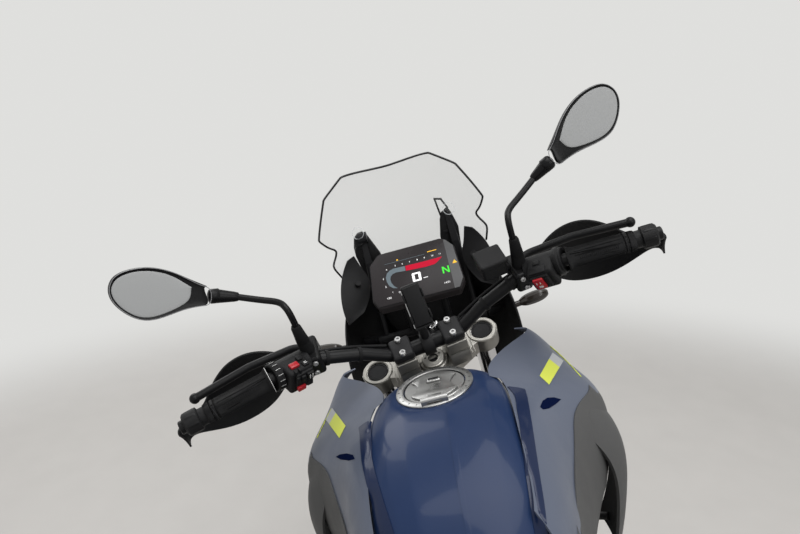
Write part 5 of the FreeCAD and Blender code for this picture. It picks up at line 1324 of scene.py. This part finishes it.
def seat():
    """The rider's and the passenger's padded seat, each with its rolled seams."""
    for name, rows, channels in (("rider_seat", RIDER_ROWS, (-170, -210, -250, -290)),
                                 ("passenger_seat", PASSENGER_ROWS, (-400, -450, -500, -550))):
        pad = inflated(moved(pad_shape(rows), MM), 4, 0.006)
        widths = [(y, w, top) for y, w, top, _ in rows]
        right = [(0.93 * w, y, top - 9) for y, w, top in widths[1:-1]]
        ring = right + [(-x, y, z) for x, y, z in right[::-1]]
        seams = [seam(pad, ring, looped=True)]
        for y in channels:
            w, top = next((w, top) for place, w, top in widths if place <= y + 25)
            seams.append(seam(pad, [(x * w, y - 30 * (1 - abs(x) * 1.2), top + 6)
                                    for x in (-0.72, -0.5, -0.25, 0, 0.25, 0.5, 0.72)], 0.0009, 0.0001))
        line = together(*seams)
        settle(moved(line, BIKE), f"{name}_seams", "frame", "seat_cover", skin="seam_thread")
        pad = settle(moved(pad, BIKE), name, "frame", "seat_cover", angle=60)
        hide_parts("seat")


# Wheels: tread, links, bolts and valves. A wheel is drawn about its axle, which is the x axis.


def crown_height(x, radius, crown):
    """How far the tread stands off the axle at a distance from the tyre's middle."""
    return radius - crown + math.sqrt(crown ** 2 - x ** 2)


def wall_points(rim, radius, width, bead):
    """The side of a tyre from the tread's shoulder down to the rim, as (x, radius) points."""
    bulge = rim + (radius - rim) * 0.42
    foot, lip = bead - 0.3, rim + 13.5
    return ((width * 0.485, bulge + (radius - bulge) * 0.5), (width * 0.499, bulge),
            (width * 0.46, rim + 26),
            (foot + 4, lip + 5), (foot + 0.5, lip), (foot, rim + 0.4))


def tyre(name, node, place, body, rim, radius, width, crown, bead, depth, count, rows):
    """A tyre: a carcass with side ribs, and tread blocks that stand up to its full radius."""
    shoulder = width * 0.455
    outer = []
    for step in range(-8, 9):
        x = shoulder * step / 8
        outer.append((x, crown_height(x, radius, crown) - depth))
    wall = wall_points(rim, radius, width, bead)
    outline = [(-x, r) for x, r in wall[::-1]] + outer + list(wall)
    inner = [(x * 0.84, r - 9 if r > rim + 20 else r) for x, r in outline[::-1]]
    carcass = spun([(r, x) for x, r in outline + inner], (0, 0, 0), (1, 0, 0), 120)
    ribs = [spun([(r, side * x), (r + 1.4, side * (x + 0.9)), (r + 3, side * (x + 0.2))], (0, 0, 0),
                 (1, 0, 0), 96)
            for side in (-1, 1) for x, r in ((width * 0.492, rim + (radius - rim) * 0.52),
                                             (width * 0.482, rim + 30))]
    base = settle(together(carcass, *ribs), name, body, "tyre_rubber", place)
    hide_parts(node)
    step_length = math.tau * radius / count
    blocks = []
    for x0, x1, s0, s1, slant in rows:
        for side in (-1, 1):
            piece = block((x0, s0 * step_length, 0), (x1, s1 * step_length, depth), 1.1, 1)
            edit(piece)
            bpy.ops.mesh.bisect(plane_co=((x0 + x1) / 2, 0, 0), plane_no=(1, 0, 0))
            leave_edit()
            for vertex in piece.data.vertices:
                x, along, height = vertex.co
                turn = (along + (x - x0) * slant) / radius
                reach = crown_height(min(x, shoulder), radius,
                                     crown) - depth - 0.4 + height * (1 + 0.4 / depth)
                if side < 0:
                    turn += math.pi / count
                vertex.co = (side * x, reach * math.cos(turn), reach * math.sin(turn))
            blocks.append(close_up(piece))
    pattern = copies(together(*blocks), round_about("X", count))
    settle(pattern, f"{name}_tread", body, "tyre_rubber", place, angle=30)


# Tread rows: from and to across the tyre, from and to along one step, and slant.
FRONT_TREAD = ((1.5, 14, 0.05, 0.86, 0.55), (17, 31, 0.12, 0.88, 0.7), (34, 49, 0.10, 0.84, 0.8))
REAR_TREAD = ((1.5, 18, 0.05, 0.88, 0.5), (21.5, 40, 0.10, 0.88, 0.6), (43.5, 64, 0.12, 0.84, 0.7))


# Wheel: place, rim radius, how far a disc is from the middle, the radius of its buttons and its sides.
WHEELS = (("front", FRONT_WHEEL, 241.3, 58, 120, (-1, 1)), ("rear", REAR_WHEEL, 215.9, 64, 100, (1,)))


def wheel_details():
    """Valves, the bolts of the discs and the buttons that the discs float on."""
    for name, place, rim, disc_x, _, sides in WHEELS:
        foot = 31 - rim
        stem = turned([(6, 0), (6, 4), (4.2, 6), (4.2, 26), (4.8, 27), (4.8, 34), (3.6, 36)], (0, 0, foot),
                      (0.35, 0, 1), 20)
        settle(stem, f"{name}_valve", f"{name}_wheel", "wheel_black", place, "grip_rubber")
        heads = [(turn @ Vector((side * (disc_x + 2.5), 0, 42)), (side, 0, 0))
                 for side in sides for turn in round_about("X", 5, 0.31)]
        settle(bolts(heads, 5.5, 4.5), f"{name}_disc_bolts", f"{name}_wheel", "disc_steel", place)
    for name, place, _, disc_x, track, sides in WHEELS:
        button = turned([(6.4, -3.6), (7, -3), (7, 3), (6.4, 3.6)], (0, 0, 0), (1, 0, 0), 20)
        spots = [turn @ shift(side * disc_x, 0, track) for side in sides
                 for turn in round_about("X", 5)]
        settle(copies(button, spots), f"{name}_disc_buttons", f"{name}_wheel", "disc_steel", place)


CHAIN_X, PITCH, REAR_TEETH, FRONT_TEETH = -98, 15.875, 41, 17
SPROCKET_Y, SPROCKET_Z = -112, 400
REAR_Y, REAR_Z = -779.5, 320.9


def chain_line():
    """Where each pin of the chain is, round both sprockets."""
    big, small = (PITCH / (2 * math.sin(math.pi / teeth)) for teeth in (REAR_TEETH, FRONT_TEETH))
    dy, dz = REAR_Y - SPROCKET_Y, REAR_Z - SPROCKET_Z
    run, heading = math.hypot(dy, dz), math.atan2(dz, dy)
    tilt = math.asin((big - small) / run)
    straight = run * math.cos(tilt)
    arcs = (big * (math.pi + 2 * tilt), small * (math.pi - 2 * tilt))
    total = 2 * straight + sum(arcs)
    count = round(total / PITCH)
    count -= count % 2
    cos, sin, meet = math.cos(heading), math.sin(heading), math.pi / 2 + tilt

    def on_big(turn):
        return (run + big * math.cos(turn), big * math.sin(turn))

    def on_small(turn):
        return (small * math.cos(turn), small * math.sin(turn))

    line = []
    for number in range(count):
        along = total * number / count
        if along < arcs[0]:
            u, v = on_big(along / big - meet)
        elif along < arcs[0] + straight:
            u, v = between(on_big(meet), on_small(meet), (along - arcs[0]) / straight)
        elif along < arcs[0] + straight + arcs[1]:
            u, v = on_small(meet + (along - arcs[0] - straight) / small)
        else:
            u, v = between(on_small(-meet), on_big(-meet), (along - arcs[0] - straight - arcs[1]) / straight)
        line.append(Vector((CHAIN_X, SPROCKET_Y + u * cos - v * sin, SPROCKET_Z + u * sin + v * cos)))
    return line


def link_plate(x, thick):
    """One waisted link plate, from its first pin towards the next along y."""
    outline = []
    for centre, start in ((0, 90), (PITCH, -90)):
        for step in range(7):
            turn = math.radians(start + 30 * step)
            outline.append((centre + 7 * math.cos(turn), 7 * math.sin(turn)))
        outline.append((PITCH / 2, -5.2 if start == 90 else 5.2))
    return moved(flat(outline, thick), Matrix(((0, 0, 1, x), (1, 0, 0, 0), (0, 1, 0, 0), (0, 0, 0, 1))))


def chain():
    """The chain's inner and outer links in turn, and the drive sprocket with its nut and shaft."""
    outer = together(link_plate(-8, 1.7), link_plate(6.3, 1.7),
                     *[turned([(2.4, -9.2), (2.4, 9.2)], (0, at, 0), (1, 0, 0), 8) for at in (0, PITCH)])
    inner = together(link_plate(-6.2, 1.6), link_plate(4.6, 1.6),
                     *[turned([(4.8, -4.6), (4.8, 4.6)], (0, at, 0), (1, 0, 0), 10) for at in (0, PITCH)])
    line = chain_line()
    places = {0: [], 1: []}
    for number, point in enumerate(line):
        across = line[(number + 1) % len(line)] - point
        turn = math.atan2(across.z, across.y)
        places[number % 2].append(Matrix.Translation(point) @ Matrix.Rotation(turn, 4, "X"))
    links = together(copies(outer, places[0]), copies(inner, places[1]))
    links = on_frame(links, "chain_links", "chain_steel")
    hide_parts("chain")
    small = PITCH / (2 * math.sin(math.pi / FRONT_TEETH))
    outline = []
    for tooth in range(FRONT_TEETH):
        for share, reach in ((-0.34, small - 11), (-0.13, small - 4.9), (0.13, small - 4.9),
                             (0.34, small - 11)):
            turn = (tooth + share) * math.tau / FRONT_TEETH
            outline.append((reach * math.cos(turn), reach * math.sin(turn)))
    drive = moved(flat(outline, 6, 0.6, 1), shift(CHAIN_X - 3, SPROCKET_Y, SPROCKET_Z)
                  @ tilt(90, "Y"))
    nut = turned([(15, 0), (15, 5), (10, 6), (10, 9)], (CHAIN_X - 9, SPROCKET_Y, SPROCKET_Z), (1, 0, 0), 6)
    shaft = turned([(14, 0), (14, 20)], (CHAIN_X - 3, SPROCKET_Y, SPROCKET_Z), (1, 0, 0), 24)
    on_frame(together(drive, nut, shaft), "drive_sprocket", "chain_steel", "sprocket_steel")


# Engine, cooling, exhaust and lower parts.


def side_block(side, near, far, along, heights, edge, steps=3):
    """A rounded bar on one side of the machine, from near to far off its middle."""
    low, high = sorted((side * near, side * far))
    return block((low, along[0], heights[0]), (high, along[1], heights[1]), edge, steps)


def engine_details():
    """Bolts, filler, sight glass, cover rings, cylinder ribs and the radiator's core and rim."""
    heads = [((x, y + radius * math.cos(angle), z + radius * math.sin(angle)), (x, 0, 0))
             for count, x, y, z, radius in ((10, 134, 40, 368, 91), (9, -130, 110, 372, 78))
             for angle in (math.tau * number / count for number in range(count))]
    heads += [((x, y, 756), (0, 0, 1)) for y in (112, 254) for x in (-84, 0, 84)]
    on_frame(bolts(heads, 4.6, 4), "engine_bolts", "cover_alloy", "pale_steel")
    filler = turned([(17, 0), (17, 9), (15, 11), (15, 14), (11, 15)], (118, 170, 452), (1, 0.1, 0.25), 28)
    notch = block((131, 160, 452), (136, 182, 457), 1, 1)
    sight = turned([(13, 0), (13, 3), (9.5, 3.6), (9.5, 2)], (134, 60, 296), (1, 0, 0), 28)
    on_frame(together(filler, notch), "oil_filler", "cover_alloy", "black_plastic")
    on_frame(sight, "oil_sight_glass", "cover_alloy", "stanchion_chrome")
    rings = [turned([(r, 0), (r, 1.2), (r - 1.4, 2)], (170, 40, 368), (1, 0, 0), 48) for r in (46, 30)]
    hub = turned([(31, 0), (31, 2), (24, 4), (8, 4.6)], (-158, 110, 372), (-1, 0, 0), 48)
    on_frame(together(*rings, hub), "engine_cover_rings", "cover_alloy")
    ribs = [block((x - 1.5, 286, 470), (x + 1.5, 292, 630), 1.2, 1) for x in (-84, -60, -12, 12, 60, 84)]
    ribs += [side_block(side, 103.5, 107, (96, 278), (z, z + 5), 1, 1) for side in (-1, 1)
             for z in range(522, 632, 18)]
    ribs += [side_block(side, 115, 118, (96, 272), (668, 704), 1.4, 2) for side in (-1, 1)]
    on_frame(together(*ribs), "cylinder_ribs", "engine_alloy")
    fins = copies(block((-1, 0, 0), (0.6, 3.4, 168)), [shift(x, 418.6, 561) for x in range(-130, 131, 4)])
    rails = copies(block((-132, 417.8, 0), (132, 421.4, 1.5)), [shift(0, 0, z) for z in range(560, 732, 9)])
    rim = [side_block(side, 132, 140, (416, 424), (552, 738), 2) for side in (-1, 1)]
    rim += [block((-140, 416, z), (140, 424, z + 8), 2) for z in (552, 730)]
    on_frame(together(fins, rails), "radiator_core", "radiator_alloy")
    on_frame(together(*rim), "radiator_rim", "radiator_alloy")


def harness():
    """The wiring that is clipped along the handlebar on each side, with its clips."""
    line = ((70, 18, 62), (104, 22, 78), (140, 20, 98), (176, 18, 114), (196, 16, 119))
    loom = rod([(x, y - 1, z - 11) for x, y, z in line], 4.2, 3)
    second = rod([(x, y + 5, z - 4) for x, y, z in line], 2.8, 3)
    clips = [spun([(11.4, -3), (13, -3), (13, 3), (11.4, 3)], base, along, 28)
             for base, along in (((118, 9.7, 78.8), (83, -4, 42)), ((170, 7.2, 105), (83, -4, 42)))]
    on_fork(both_sides(together(loom, second, *clips)), "bar_harness", "black_plastic", "grip_rubber")


SILENCER_SLOPE = 16.7


def exhaust_details():
    """The silencer's straps, its end cap and its outlet."""
    slope = tilt(90 - SILENCER_SLOPE, "X")
    straps = []
    for d, r in ((96, 61.6), (300, 65.6)):
        ring = spun([(r, -9), (r + 2.6, -9), (r + 2.6, 9), (r, 9)], steps=48)
        straps.append(moved(moved(ring, Matrix.Scale(0.81, 4, (1, 0, 0))),
                            shift(204, -478 - d, 480 + d * 0.3) @ slope))
    on_frame(together(*straps), "silencer_straps", "exhaust_steel", "bar_black")
    cap = spun([(30, 0), (52, -4), (56, 0), (55, 6), (46, 10), (30, 8)], steps=48)
    cap = moved(cap, Matrix.Scale(0.8, 4, (1, 0, 0)))
    outlet = spun([(15, -8), (18, -8), (18, 6), (15, 6)], (0, 6, 0), (0, 0, 1), 36)
    inner = turned([(29, 1), (29, 2)], steps=36)
    inner = moved(inner, Matrix.Scale(0.8, 4, (1, 0, 0)))
    place = shift(204, -896, 605) @ slope
    on_frame(moved(cap, place), "silencer_end_cap", "exhaust_steel", "black_plastic")
    on_frame(moved(inner, place), "silencer_end_plate", "exhaust_steel", "frame_black")
    on_frame(moved(outlet, place), "silencer_outlet", "exhaust_steel")


def lower_details():
    """Footrest rubbers, skid plate bolts, tail light ribs, the blank plate and the rack's pads."""
    rubbers = [side_block(side, 168, 256, (y - 2.6, y + 2.6), (343, 348), 1.4, 1)
               for side in (-1, 1) for y in (-92, -82, -72)]
    on_frame(together(*rubbers), "footrest_ribs", "black_plastic", "grip_rubber")
    heads = [((side * 96, y, z), (side * 0.2, 0.2, -1)) for side in (-1, 1)
             for y, z in ((60, 213), (-60, 213))]
    on_frame(bolts(heads, 6, 4), "skid_plate_bolts", "plate_alloy", "pale_steel")
    ribs = copies(block((-62, -925.6, 0), (62, -923, 2)), [shift(0, 0, z) for z in (829, 835, 841, 847)])
    on_frame(moved(ribs, Matrix.Scale(0.8, 4, (1, 0, 0))), "tail_light_ribs", "lamp_red")
    board = moved(block((-90, -4.6, -105), (90, -3, 105), 0.7, 1),
                  shift(0, -1102, 640) @ tilt(-20, "X"))
    on_frame(board, "blank_plate", "black_plastic", "plate_pale")
    pads = copies(block((-5, -92, 0), (5, 92, 3.4), 1.4, 2), [shift(x, -748, 899)
                                                            for x in (-70, 70)])
    on_frame(pads, "rack_pads", "black_plastic", "grip_rubber")


def headlight_details():
    """The lamp seen from ahead: dark housing, two round lenses with bright rims, and a light bar."""
    housing = moved(flat([(-94, 1034), (94, 1034), (102, 1004), (72, 938), (-72, 938), (-102, 1004)], 0.8,
                         0.4),
                    Matrix(((1, 0, 0, 0), (0, 0, 1, 723.6), (0, 1, 0, 0), (0, 0, 0, 1))))
    lenses, rims = [], []
    for side in (-1, 1):
        for x, z, r in ((46, 1000, 24), (26, 958, 13)):
            lenses.append(turned([(r, 0), (r * 0.9, 3), (r * 0.6, 6), (r * 0.2, 7)], (side * x, 722, z),
                                 (0, 1, 0), 40))
            rims.append(spun([(r, 0), (r + 4, 0), (r + 3.4, 3.6), (r, 3)], (side * x, 723, z), (0, 1, 0),
                             40))
    light_bar = block((-60, 723, 1024), (60, 727, 1030), 1.6)
    on_frame(housing, "headlight_housing", "lamp_clear", "black_plastic")
    on_frame(together(*lenses, light_bar), "headlight_lenses", "lamp_clear", "pale_lens")
    on_frame(together(*rims), "headlight_rims", "lamp_clear", "stanchion_chrome")


seat()
tyre("front_tyre_carcass", "front_tyre", FRONT_WHEEL, "front_wheel", 241.3, 329.3, 110, 60, 32, 6, 44,
     FRONT_TREAD)
tyre("rear_tyre_carcass", "rear_tyre", REAR_WHEEL, "rear_wheel", 215.9, 320.9, 150, 88, 54, 7, 38,
     REAR_TREAD)
wheel_details()
chain()
engine_details()
harness()
exhaust_details()
lower_details()
headlight_details()
